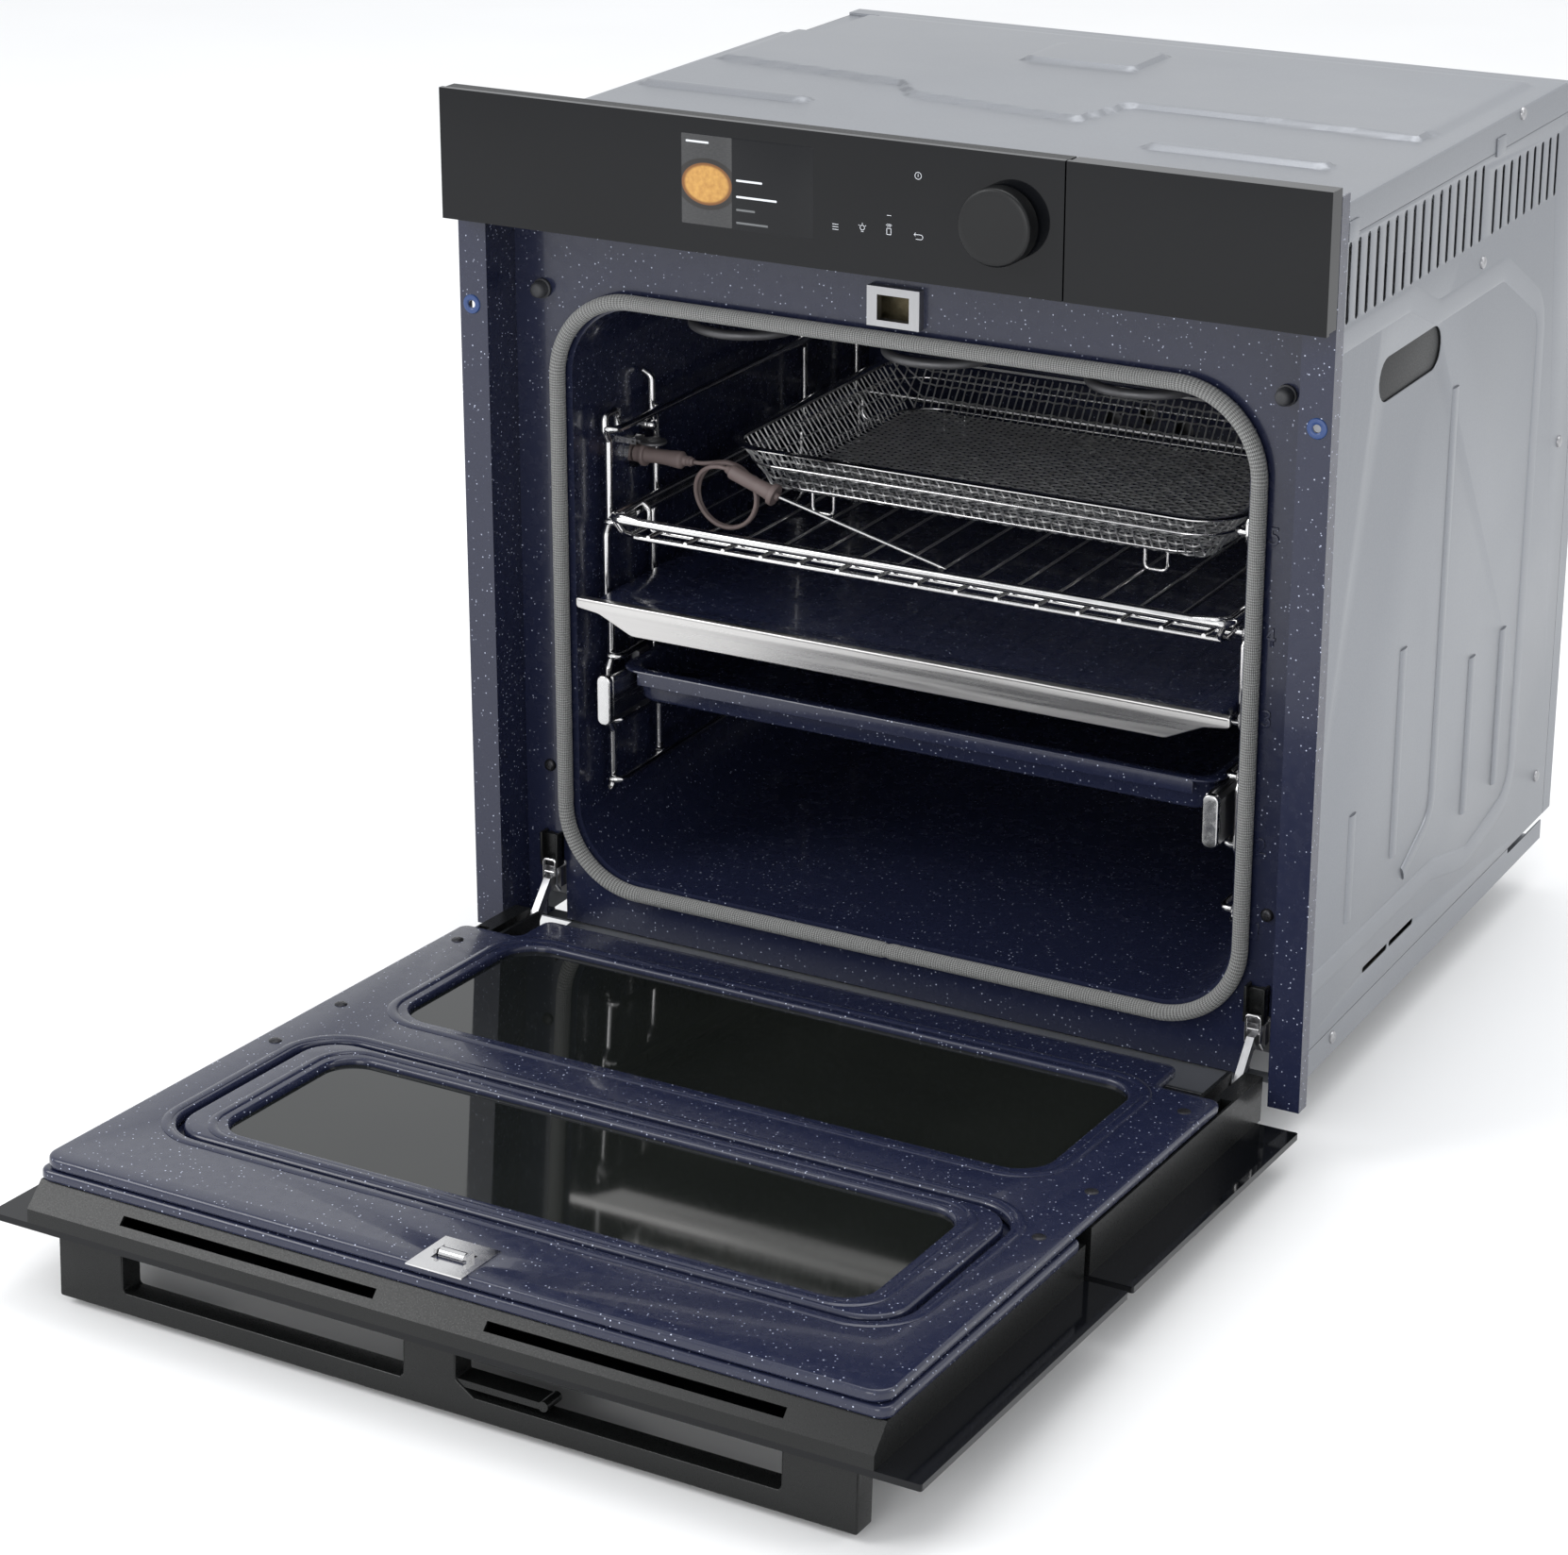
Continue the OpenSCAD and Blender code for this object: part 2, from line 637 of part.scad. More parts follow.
module fan_cover() color("midnightblue") difference() {
    along_y(cover_front, cavity_back - 0.2)
        round_rect(-cover_half, cover_half, fan_z - cover_half, fan_z + cover_half, 30);
    along_y(cover_front + 1.2, cavity_back + 1)
        round_rect(-cover_half + 1.2, cover_half - 1.2, fan_z - cover_half + 1.2,
                   fan_z + cover_half - 1.2, 28.8);
    for (a = [0:30:330])
        translate([55 * cos(a), cover_front + 3, fan_z + 55 * sin(a)]) rotate([90, 0, 0])
            cylinder(d = 14, h = 6);
    for (x = [-100, 0, 100], s = [-1, 1])
        box(x - 22, x + 22, cover_front - 1, cover_front + 3, fan_z + s * 112 - 3, fan_z + s * 112 + 3);
}

module ring_heater() color("dimgray") {
    translate([0, cavity_back - 11, fan_z]) rotate([90, 0, 0]) difference() {
        rotate_extrude() translate([heater_r, 0]) circle(d = heater_d);
        translate([-6, heater_r - 8, -5]) cube([12, 16, 10]);
    }
    for (x = [-6, 6])
        bar([x, cavity_back - 11, fan_z + heater_r], [x, cavity_back - 0.1, fan_z + heater_r], 6);
}

module convection_fan() color("silver") {
    translate([0, cavity_back - 4, fan_z]) rotate([90, 0, 0]) {
        difference() {
            union() {
                cylinder(d = 26, h = 13);
                cylinder(r = fan_r, h = 1.2);
                for (a = [0:36:324]) rotate([0, 0, a]) translate([12, -0.6, 0.5])
                    cube([fan_r - 13, 1.2, 11]);
            }
            translate([0, 0, -1]) cylinder(d = motor_shaft_d + 2 * running_gap, h = 12);
        }
    }
}

module fan_motor() color("gray") {
    translate([0, cavity_back + 3, fan_z]) rotate([-90, 0, 0]) cylinder(d = motor_d, h = fan_space - 2.8);
    translate([0, cavity_back - 13, fan_z]) rotate([-90, 0, 0]) cylinder(d = motor_shaft_d, h = 20);
}

grill_z = cavity_z1 - 15;
grill_runs = 6;
grill_pitch = (2 * cavity_half - 120) / (grill_runs - 1);
grill_y0 = 95;
grill_y1 = cavity_back - 45;

module serpentine(z, d) {
    x0 = -grill_pitch * (grill_runs - 1) / 2;
    for (i = [0:grill_runs - 1])
        bar([x0 + i * grill_pitch, grill_y0, z], [x0 + i * grill_pitch, grill_y1, z], d);
    for (i = [0:grill_runs - 2]) {
        y = i % 2 == 0 ? grill_y0 : grill_y1;
        translate([x0 + (i + 0.5) * grill_pitch, y, z]) rotate([0, 0, i % 2 == 0 ? 180 : 0])
            bend(grill_pitch / 2, d, 180);
    }
}

// Grill element under the cavity's roof and bottom element below its floor
module flat_elements() color("dimgray") {
    serpentine(grill_z, heater_d);
    x0 = grill_pitch * (grill_runs - 1) / 2;
    for (s = [-1, 1]) bar([s * x0, grill_y1, grill_z], [s * x0, cavity_back, grill_z], heater_d);
    z = cavity_z - liner_t - heater_d / 2 - 1.5;
    for (s = [-1, 1]) {
        bar([s * 110, 140, z], [s * 110, cavity_back - 10, z], heater_d);
        translate([s * 85, 140, z]) rotate([0, 0, s > 0 ? 270 : 180]) bend(25, heater_d);
    }
    bar([-85, 115, z], [85, 115, z], heater_d);
}

module oven_lamp() color("whitesmoke") translate([cavity_half - 3, lamp_y, lamp_z])
    rotate([0, 90, 0]) {
        cylinder(d = lamp_d - 4, h = 3.2);
        translate([0, 0, 3]) cylinder(d = lamp_d - 1, h = 24);
    }

blower_y = body_d - 140;
blower_z = body_h - 34;
blower_x0 = -half_w + 70;
blower_x1 = -20;
rotor_r = 22;
deck_z = cavity_z1 + wool_t + 11.5;

rotor_shaft_d = 6;

// Fan housing on the deck that parts the cooling duct from the cavity
module blower_housing() color("silver") difference() {
    union() {
        box(-half_w + sheet_t, half_w - sheet_t, recess_d + 16, body_d - sheet_t, deck_z,
            deck_z + sheet_t);
        for (x = [blower_x0, blower_x1 - 2])
            box(x, x + 2, blower_y - 20, blower_y + 20, deck_z + sheet_t / 2, blower_z - 22);
        along_x(blower_x0, blower_x1) difference() {
            union() {
                translate([blower_y, blower_z]) circle(rotor_r + 5);
                translate([blower_y - 110, blower_z + rotor_r - 12]) square([110, 17]);
            }
            translate([blower_y, blower_z]) circle(rotor_r + 4);
            translate([blower_y - 111, blower_z + rotor_r - 11]) square([112, 15]);
            translate([blower_y, blower_z - 40]) square([50, 40]);
        }
        for (x = [blower_x0, blower_x1 - 2])
            along_x(x, x + 2) translate([blower_y, blower_z]) circle(rotor_r + 5);
    }
    translate([blower_x0 - 5, blower_y, blower_z]) rotate([0, 90, 0])
        cylinder(r = rotor_shaft_d / 2 + running_gap, h = blower_x1 - blower_x0 + 10);
}

module cooling_fan() color("darkgray") translate([blower_x0 + 4, blower_y, blower_z])
    rotate([0, 90, 0]) {
        len = blower_x1 - blower_x0 - 8;
        for (x = [0, len - 1.5]) translate([0, 0, x]) cylinder(r = rotor_r, h = 1.5);
        for (a = [0:30:330]) rotate([0, 0, a]) translate([rotor_r - 6, -0.5, 0.5])
            cube([6, 1, len - 1.5]);
        translate([0, 0, -6]) cylinder(d = rotor_shaft_d, h = len + 12);
    }

steam_y = body_d - 160;

module steam_generator() color("gray") {
    box(5, 95, steam_y, steam_y + 90, deck_z + sheet_t, body_h - 20);
    // Pump and its pipe to the water drawer
    translate([50, steam_y - 40, body_h - 42]) rotate([-90, 0, 0]) cylinder(d = 26, h = 41);
    bar([94, steam_y + 20, body_h - 44], [tank_x0 - 6, steam_y + 20, body_h - 44], 8);
}

module power_inlet() color("black") {
    box(inlet_x - 13.5, inlet_x + 13.5, body_d - 18, body_d + 8, inlet_z - 10.5, inlet_z + 10.5);
    for (x = [-7, 0, 7]) bar([inlet_x + x, body_d + 7, inlet_z], [inlet_x + x, body_d + 13, inlet_z], 4);
}

// ---------------------------------------------------------------- food probe

plug_d = 12;
plug_len = 44.6;
plug_x0 = -cavity_half + 4.2;
cord_d = 3;
cap_lift = 9.5;

module probe_socket() color("silver") {
    translate([-cavity_half - 20, socket_y, socket_z]) rotate([0, 90, 0]) difference() {
        union() {
            cylinder(d = socket_d - 0.4, h = 20.5);
            translate([0, 0, 20.2]) cylinder(d = 20, h = 3.8);
        }
        translate([0, 0, 6]) cylinder(d = 6.4, h = 30);
    }
    // Ears for the hinge of the cap
    difference() {
        union() {
            for (y = [-6.5, 4.5]) box(-cavity_half + 0.2, cap_pin[0] + 2, socket_y + y,
                socket_y + y + 2, cap_pin[2] - 2, cap_pin[2] + 2);
            box(-cavity_half + 0.2, -cavity_half + 2, socket_y - 6.5, socket_y + 6.5, socket_z + 6,
                cap_pin[2] + 2);
        }
        translate([cap_pin[0], socket_y + 8, cap_pin[2]]) rotate([90, 0, 0])
            cylinder(r = cap_pin_d / 2 + running_gap, h = 16);
    }
}

cap_pin_d = 1.6;
cap_pin = [-cavity_half + 6, socket_y, socket_z + cap_lift];

// The cap is lifted off the socket's mouth and lies over the plug
module probe_cap() color("gray") {
    translate([cap_pin[0] + 12, cap_pin[1], cap_pin[2] - 1.1]) cylinder(d = 18, h = 2.2);
    translate([cap_pin[0], cap_pin[1] + 4, cap_pin[2]]) rotate([90, 0, 0]) cylinder(d = 3.6, h = 8);
    translate([cap_pin[0], cap_pin[1] + 6.2, cap_pin[2]]) rotate([90, 0, 0])
        cylinder(d = cap_pin_d, h = 12.4);
    box(cap_pin[0], cap_pin[0] + 6, cap_pin[1] - 4, cap_pin[1] + 4, cap_pin[2] - 1,
        cap_pin[2] + 1);
}

module probe_plug() color("rosybrown") {
    translate([-cavity_half - 8, socket_y, socket_z]) rotate([0, 90, 0]) cylinder(d = 6, h = 13);
    translate([plug_x0, socket_y, socket_z]) rotate([0, 90, 0])
        cylinder(d = plug_d, h = plug_len - 8);
    translate([plug_x0 + plug_len - 8, socket_y, socket_z]) rotate([0, 90, 0])
        cylinder(d = 7, h = 8);
}

grip_a = [-152.5, 94, 317.7];
grip_b = [-121, 94, 306.5];
needle_tip = [6, 94, 275.5];

// Grip of the probe with its steel needle
module probe_handle() color("rosybrown") {
    dir = (grip_b - grip_a) / norm(grip_b - grip_a);
    bar(grip_a, grip_b, 10);
    bar(grip_b - dir, grip_b + 3 * dir, 15);
    bar(grip_b + 2 * dir, needle_tip, 2.4);
}

// Route of the probe's cord: out of the plug, twice round its ring and into the grip
cord_turns = 2;
cord_steps = 16;
cord_last = cord_turns * cord_steps;
ring_r = 22;
ring_c = [-160, 0, 297];
ring_back = 105;
ring_spread = 3.5;
cord_out = [[-185.9, 105, 315.5], [-181, 105, 315.5], [-174, 105, 316.6], [-166, 105, 318.4]];
cord_ring = [for (i = [0:cord_last]) let (a = 90 - 360 * i / cord_steps, f = max(0, (i - cord_last + 6) / 6))
    [ring_c[0] + ring_r * cos(a),
     ring_back - ring_spread * i / cord_last - (ring_back - ring_spread - grip_a[1]) * f * f * (3 - 2 * f),
     ring_c[2] + ring_r * sin(a)]];
cord_end = [-153.3, 94, 317.9];
cord_route = concat(cord_out, cord_ring, [cord_end]);

// Tube of eight sides swept along a route
module cord_tube(route, d) {
    sides = 8;
    last = len(route) - 1;
    function along(i) = route[min(i + 1, last)] - route[max(i - 1, 0)];
    points = [for (i = [0:last]) let (
        t = along(i) / norm(along(i)),
        u = cross(t, [0, 1, 0]) / norm(cross(t, [0, 1, 0])),
        w = cross(u, t)
    ) for (k = [0:sides - 1]) let (a = 360 * k / sides) route[i] + d / 2 * (cos(a) * u + sin(a) * w)];
    sleeve = [for (i = [0:last - 1], k = [0:sides - 1]) let (n = (k + 1) % sides)
        [i * sides + k, (i + 1) * sides + k, (i + 1) * sides + n, i * sides + n]];
    start = [for (k = [0:sides - 1]) k];
    end = [for (k = [sides - 1:-1:0]) last * sides + k];
    polyhedron(points, concat([start], sleeve, [end]));
}

module probe_cord() color("rosybrown") cord_tube(cord_route, cord_d);

// ---------------------------------------------------------------- shelves, divider and tray

shelf_y0 = 50;
shelf_y1 = cavity_back - 47;
shelf_low = shelf_z - 18.8;
shelf_half = runner_x;
low_half = cavity_half - 24;
shelf_wires = 15;
link_y = [88, shelf_y1 - 8];

frame_wire = 6;
side_wire = 5.6;
link_wire = 4;
thin_wire = 3;

module wire_shelf() color("gainsboro") {
    for (y = [shelf_y0, shelf_y1])
        bar([-shelf_half - 2.9, y, shelf_z], [shelf_half + 2.9, y, shelf_z], frame_wire);
    both_sides() {
        bar([shelf_half, shelf_y0, shelf_z], [shelf_half, shelf_y1, shelf_z], side_wire);
        for (y = link_y) {
            bar([low_half, y, shelf_low], [low_half, y, shelf_z], link_wire);
            bar([low_half - 1, y, shelf_z], [shelf_half, y, shelf_z], link_wire);
        }
    }
    for (y = link_y)
        bar([-low_half - 2, y, shelf_low], [low_half + 2, y, shelf_low], link_wire);
    for (i = [0:shelf_wires - 1]) {
        x = -low_half + 14 + i * (2 * low_half - 28) / (shelf_wires - 1);
        bar([x, link_y[0], shelf_low + 1.6], [x, link_y[1], shelf_low + 1.6], thin_wire);
    }
}

basket_half = cavity_half - 50;
basket_y0 = 130;
basket_y1 = cavity_back - 52;
basket_rim = shelf_low + 53.5;
basket_taper = 22;

module basket_shape(inset, z0, z1) {
    hull() {
        translate([0, 0, z1 - 0.2]) linear_extrude(0.2)
            round_rect(-basket_half + inset, basket_half - inset, basket_y0 + inset,
                       basket_y1 - inset, 34 - inset);
        translate([0, 0, z0]) linear_extrude(0.2)
            round_rect(-basket_half + basket_taper + inset, basket_half - basket_taper - inset,
                       basket_y0 + basket_taper + inset, basket_y1 - basket_taper - inset,
                       30 - inset);
    }
}

module mesh_basket() color("lightgray") {
    difference() {
        basket_shape(0, basket_rim - basket_h, basket_rim, $fn = 32);
        basket_shape(2, basket_rim - basket_h + 2, basket_rim + 0.3, $fn = 32);
    }
    // Wire feet that stand on the shelf
    foot_z = shelf_low + 3.1 + rest_gap;
    for (x = [-121, 121], y = [basket_y0 + 34, basket_y1 - 34]) {
        bar([x - 8, y, basket_rim - basket_h + 1], [x - 8, y, foot_z], 3);
        bar([x + 8, y, basket_rim - basket_h + 1], [x + 8, y, foot_z], 3);
        bar([x - 9.5, y, foot_z + 1.5], [x + 9.5, y, foot_z + 1.5], 3);
    }
}

divider_low = divider_z - 20;
divider_half = cavity_half - 4;
plate_half = cavity_half - 13;
divider_y = 27;

module divider_bar() color("silver") along_y(divider_y, divider_y + 3) {
    polygon([
        [-divider_half, divider_z], [divider_half, divider_z], [divider_half, divider_z - 6],
        [divider_half - 18, divider_z - 7], [divider_half - 43, divider_low],
        [-divider_half + 43, divider_low], [-divider_half + 18, divider_z - 7],
        [-divider_half, divider_z - 6],
    ]);
}

module divider_plate() color("midnightblue") {
    box(-plate_half, plate_half, divider_y + 3, cavity_back - 30, divider_z - 10.5, divider_z - 2);
    box(-plate_half + 30, plate_half - 30, divider_y + 3, divider_y + 5, divider_low, divider_z - 10);
}

rail_z0 = 147;
rail_top = 181.7;
tray_half = cavity_half - 20;
tray_y0 = 50;
tray_y1 = cavity_back - 45;
member_x0 = tray_half - 3.5;
tray_wall = 1.2;

module baking_tray() color("midnightblue") {
    in = 9;
    floor_z = tray_z - tray_h;
    difference() {
        union() {
            translate([0, 0, floor_z]) linear_extrude(tray_h)
                round_rect(-tray_half + in, tray_half - in, tray_y0 + in, tray_y1 - in, 14);
            translate([0, 0, tray_z - 2]) linear_extrude(2)
                round_rect(-tray_half, tray_half, tray_y0, tray_y1, 16);
            // Rim turned down at the front and back
            for (y = [tray_y0, tray_y1 - 1.2])
                box(-tray_half + 16, tray_half - 16, y, y + 1.2, tray_z - 10, tray_z - 1);
        }
        translate([0, 0, floor_z + tray_wall]) linear_extrude(tray_h)
            round_rect(-tray_half + in + tray_wall, tray_half - in - tray_wall,
                       tray_y0 + in + tray_wall, tray_y1 - in - tray_wall, 14 - tray_wall);
    }
}

module sliding_rails() color("silver") both_sides() {
    box(member_x0, tray_half, 40, runner_y1 - 20, rail_z0 + 4, rail_top);
    // Cap at the front end
    along_y(36, 41) obround(member_x0, cavity_half - 13, rail_z0, rail_top);
}

module fixed_rails() color("darkgray") both_sides() {
    box(tray_half + 0.3, runner_x + 2, 46, runner_y1 - 10, rail_z0, rail_z0 + 29);
    // Clips on the runners below and above
    for (y = [80, runner_y1 - 60]) {
        box(tray_half + 0.3, runner_x + 2.5, y, y + 14, levels[1] + 2.5, rail_z0 + 1);
        box(tray_half + 0.3, runner_x + 2.5, y, y + 14, rail_z0 + 28, levels[2] - 2.5);
    }
}

// ---------------------------------------------------------------- door

window_a = [-window_half, window_half, 50, 197];
window_b = [-window_half + 10, window_half - 10, 265, 393];
ring_b = [-window_half - 15, window_half + 15, 250, 408];
notch_in = 227;
notch_out = 268;
seam_lo = seam_z - seam_gap / 2 + 0.05;
seam_hi = seam_z + seam_gap / 2 - 0.05;
frame_clear = 4;
latch_z0 = stop_z + 8;

module window_outline(w, grow, r) {
    round_rect(w[0] - grow, w[1] + grow, w[2] - grow, w[3] + grow, r + grow);
}

// Inner panel of the door: window below, and an open frame for the flap above
module door_panel() color("midnightblue") door_pose() difference() {
    along_y(door_face - layer_t, door_face)
        round_rect(-door_half, door_half, door_bottom, door_top, 8);
    along_y(door_face - layer_t - 1, door_face - 1.2) difference() {
        round_rect(-door_half + 1.2, door_half - 1.2, door_bottom + 1.2, door_top - 1.2, 7);
        window_outline(window_a, 7, 22);
        window_outline(ring_b, frame_clear + 1.2, 26);
    }
    along_y(door_face - layer_t - 1, door_face + 1) {
        window_outline(window_a, 0, 22);
        window_outline(ring_b, frame_clear, 26);
        // Corners cut away for the hinge arms
        for (s = [-1, 1])
            translate([s > 0 ? notch_in + hinge_off : -notch_out - hinge_off - 20, 0])
                square([notch_out - notch_in + 20, 44]);
        translate([-10.5, latch_z0 + 6]) square([21, 14]);
    }
}

module door_window() color("dimgray") door_pose() along_y(door_face - layer_t, door_face - layer_t + 3.2)
    round_rect(window_a[0] + 0.3, window_a[1] - 0.3, window_a[2] + 0.3, window_a[3] - 0.3, 21.7);

module door_glass() color("black") door_pose() along_y(-glass_out, -glass_in)
    round_rect(-front_half, front_half, glass_z0, seam_lo, 1.5);

rail_out = door_half + 0.5;
rail_in = hinge_c + 3.5;
rail_top_y = door_face - layer_t - 0.5;
cheek_in = hinge_c - 3.5;

module flap_lug(x0, x1, up) {
    along_x(x0, x1) {
        translate([flap_y, seam_z]) circle(2.8);
        translate([flap_y, seam_z - 2.8]) square([7, 5.6]);
        translate([flap_y + 3, up ? seam_z - 2.8 : seam_z - 12]) square([5, 14.8]);
    }
}

// Lower side rails with the cheeks that hold the hinge pins
module door_frame() color("black") door_pose() {
    both_sides() {
        difference() {
            box(rail_in, rail_out, -glass_in, rail_top_y, glass_z0 - 5, seam_lo);
            box(rail_in + 3, rail_out - 1.5, -glass_in + 1.5, rail_top_y + 1, glass_z0 + 40,
                seam_lo - 10);
        }
        box(cheek_in - 2.5, cheek_in, -glass_in, rail_top_y, glass_z0 - 2, 60);
        box(cheek_in - 2.5, rail_in + 1, -glass_in, -glass_in + 1.5, 20, 60);
        translate([cheek_in - 1, pivot_y, pivot_z]) rotate([0, 90, 0])
            cylinder(d = hinge_pin_d, h = rail_in - cheek_in + 3);
        // Step that carries the inner panel
        box(rail_in, rail_out - 2, rail_top_y - 0.1, rail_top_y + 0.5, 48, seam_lo - 4);
        flap_lug(rail_in - 9, rail_in - 5, false);
        box(rail_in - 9, rail_in + 1, -glass_in + 1.5, -glass_in + 6.5, seam_z - 24, seam_z - 8);
        translate([rail_in - 8, flap_y, seam_z]) rotate([0, 90, 0]) cylinder(d = 2.6, h = 9);
    }
    // Bars that tie the rails together below and above the window
    box(-cheek_in + 1, cheek_in - 1, -glass_in, -glass_in + 12, glass_z0 + 4, glass_z0 + 24);
    box(-rail_in + 8, rail_in - 8, -glass_in + 1.5, -glass_in + 13, seam_z - 26, seam_z - 12);
}

module latch_plate() color("silver") door_pose() {
    difference() {
        box(-18, 18, door_face, door_face + 0.8, latch_z0 - 6, latch_z0 + 33);
        box(-10.5, 10.5, door_face - 1, door_face + 2, latch_z0 + 6, latch_z0 + 20);
    }
    difference() {
        for (s = [-1, 1]) box(s * 9.5 - 1, s * 9.5 + 1, door_face - 0.2, door_face + 4.4,
            latch_z0 + 9, latch_z0 + 17);
        translate([-12, door_face + 1.2, latch_z0 + 13]) rotate([0, 90, 0]) cylinder(d = 2.5, h = 24);
    }
}

module latch_roller() color("silver") door_pose()
    translate([0, door_face + 1.2, latch_z0 + 13]) rotate([0, 90, 0]) {
        translate([0, 0, -8]) cylinder(d = 7, h = 16);
        translate([0, 0, -10.4]) cylinder(d = 2.4, h = 20.8);
    }

// ---------------------------------------------------------------- flap

module flap_glass() color("black") door_pose() along_y(-glass_out, -glass_in)
    round_rect(-front_half, front_half, seam_hi, glass_z1, 1.5);

module flap_panel() color("midnightblue") door_pose() difference() {
    union() {
        along_y(door_face - 2 * layer_t - 0.6, door_face - layer_t - 0.6)
            round_rect(-door_half - 2, door_half + 2, seam_hi + 7, door_top + 1, 8);
        // Raised frame that fills the opening of the door's inner panel
        along_y(door_face - layer_t - 1, door_face) window_outline(ring_b, 0, 26);
    }
    along_y(door_face - 2 * layer_t - 2, door_face + 1) window_outline(window_b, 0, 20);
    along_y(door_face - 2 * layer_t - 2, door_face - layer_t - 2) difference() {
        round_rect(-door_half, door_half, seam_hi + 9, door_top - 1, 7);
        window_outline(window_b, 8, 20);
    }
    along_y(door_face - layer_t - 3, door_face - 1.2) difference() {
        window_outline(ring_b, -1.2, 26);
        window_outline(window_b, 8, 20);
    }
}

module flap_window() color("dimgray") door_pose() along_y(door_face - layer_t, door_face - layer_t + 3.2)
    round_rect(window_b[0] + 0.3, window_b[1] - 0.3, window_b[2] + 0.3, window_b[3] - 0.3, 19.7);

flap_rail_y = door_face - 2 * layer_t - 0.6;

// Upper side rails and the sloping top trim with its air slots
module flap_frame() color("black") door_pose() {
    both_sides() {
        difference() {
            box(rail_in, rail_out, -glass_in, flap_rail_y, seam_hi + 1, glass_z1 - 14);
            box(rail_in + 3, rail_out - 1.5, -glass_in + 1.5, flap_rail_y + 1, seam_hi + 10,
                glass_z1 - 24);
        }
        difference() {
            union() {
                flap_lug(rail_in - 4.5, rail_in - 1, true);
                box(rail_in - 4.5, rail_in + 1, -glass_in + 1.5, -glass_in + 6.5, seam_z + 8,
                    seam_z + 24);
            }
            translate([rail_in - 9, flap_y, seam_z]) rotate([0, 90, 0])
                cylinder(r = 1.3 + running_gap, h = 9);
        }
    }
    difference() {
        along_x(-rail_out, rail_out) polygon([
            [-glass_in, glass_z1 - 14.5], [flap_rail_y, glass_z1 - 14.5], [flap_rail_y, glass_z1 - 13],
            [-5.1, glass_z1], [-glass_in, glass_z1],
        ]);
        along_x(-rail_out + 4, rail_out - 4) polygon([
            [-glass_in + 1.5, glass_z1 - 15], [flap_rail_y - 2, glass_z1 - 15],
            [flap_rail_y - 2, glass_z1 - 14], [-6.1, glass_z1 - 2], [-glass_in + 1.5, glass_z1 - 2],
        ]);
        // Air slots on the slope
        for (x = [[-208, -37], [34, 216]]) if (x[1] < rail_out - 20)
            translate([x[0], 0.5, glass_z1 - 6.5]) rotate([-43, 0, 0])
                translate([0, -3, -8]) cube([x[1] - x[0], 6, 20]);
    }
}

handle_z1 = glass_z1 - 10.5;
handle_z0 = handle_z1 - handle_h;
handle_y0 = -glass_out - handle_out;
handle_t = 13;
post_w = 45;
mid_x0 = -22;
mid_x1 = 12;

module handle() color("black") door_pose() {
    difference() {
        union() {
            box(-handle_half, handle_half, handle_y0, handle_y0 + handle_t, handle_z0, handle_z1);
            both_sides() box(handle_half - post_w, handle_half, handle_y0 + handle_t - 1, -glass_out,
                handle_z0, handle_z1);
            box(mid_x0, mid_x1, handle_y0 + handle_t - 1, -glass_out, handle_z0, handle_z1);
        }
        // Finger groove along the inner face of the bar
        for (x = [[-handle_half + post_w + 6, mid_x0 - 6], [mid_x1 + 66, handle_half - post_w - 6]])
            translate([x[0], handle_y0 + handle_t + 10, (handle_z0 + handle_z1) / 2])
                rotate([0, 90, 0]) cylinder(r = 11.5, h = x[1] - x[0]);
    }
}

lever_len = 55;
lever_gap = 0.5;
lever_y = handle_y0 + handle_t + 6.5;

// Release lever for the flap, hinged at the handle's middle post
module flap_lever() color("black") door_pose() {
    box(mid_x1 + lever_gap, mid_x1 + lever_len, lever_y - 2, lever_y + 2, handle_z0 + 1, handle_z1 - 1);
    translate([mid_x1 + lever_len, lever_y, handle_z0 + 1]) cylinder(d = 6, h = handle_h - 2);
}

front_frame();
door_seal();
cavity_liner();
insulation();
side_panel_left();
side_panel_right();
top_cover();
back_panel();
duct_cover();
base_plate();
side_rack_left();
side_rack_right();
latch_receiver();
hinge_left();
hinge_right();
front_stops();
body_screws();
panel_glass();
panel_frame();
control_board();
fan_cover();
ring_heater();
fan_motor();
flat_elements();
oven_lamp();
blower_housing();
steam_generator();
drawer_guide();
power_inlet();
probe_socket();
probe_plug();
probe_cord();
fixed_rails();
dial_shaft();
dial();
drawer_front();
water_tank();
tank_lid();
wire_shelf();
mesh_basket();
probe_handle();
probe_cap();
divider_bar();
divider_plate();
baking_tray();
sliding_rails();
convection_fan();
cooling_fan();
door_panel();
door_window();
door_glass();
door_frame();
latch_plate();
latch_roller();
flap_glass();
flap_panel();
flap_window();
flap_frame();
handle();
flap_lever();
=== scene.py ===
"""Built-in wall oven with its door open, its shelves in place and a food probe plugged in."""

import json
import math

import bmesh
import bpy
from bpy.props import FloatProperty, FloatVectorProperty, IntProperty, PointerProperty
from mathutils import Matrix, Vector, noise


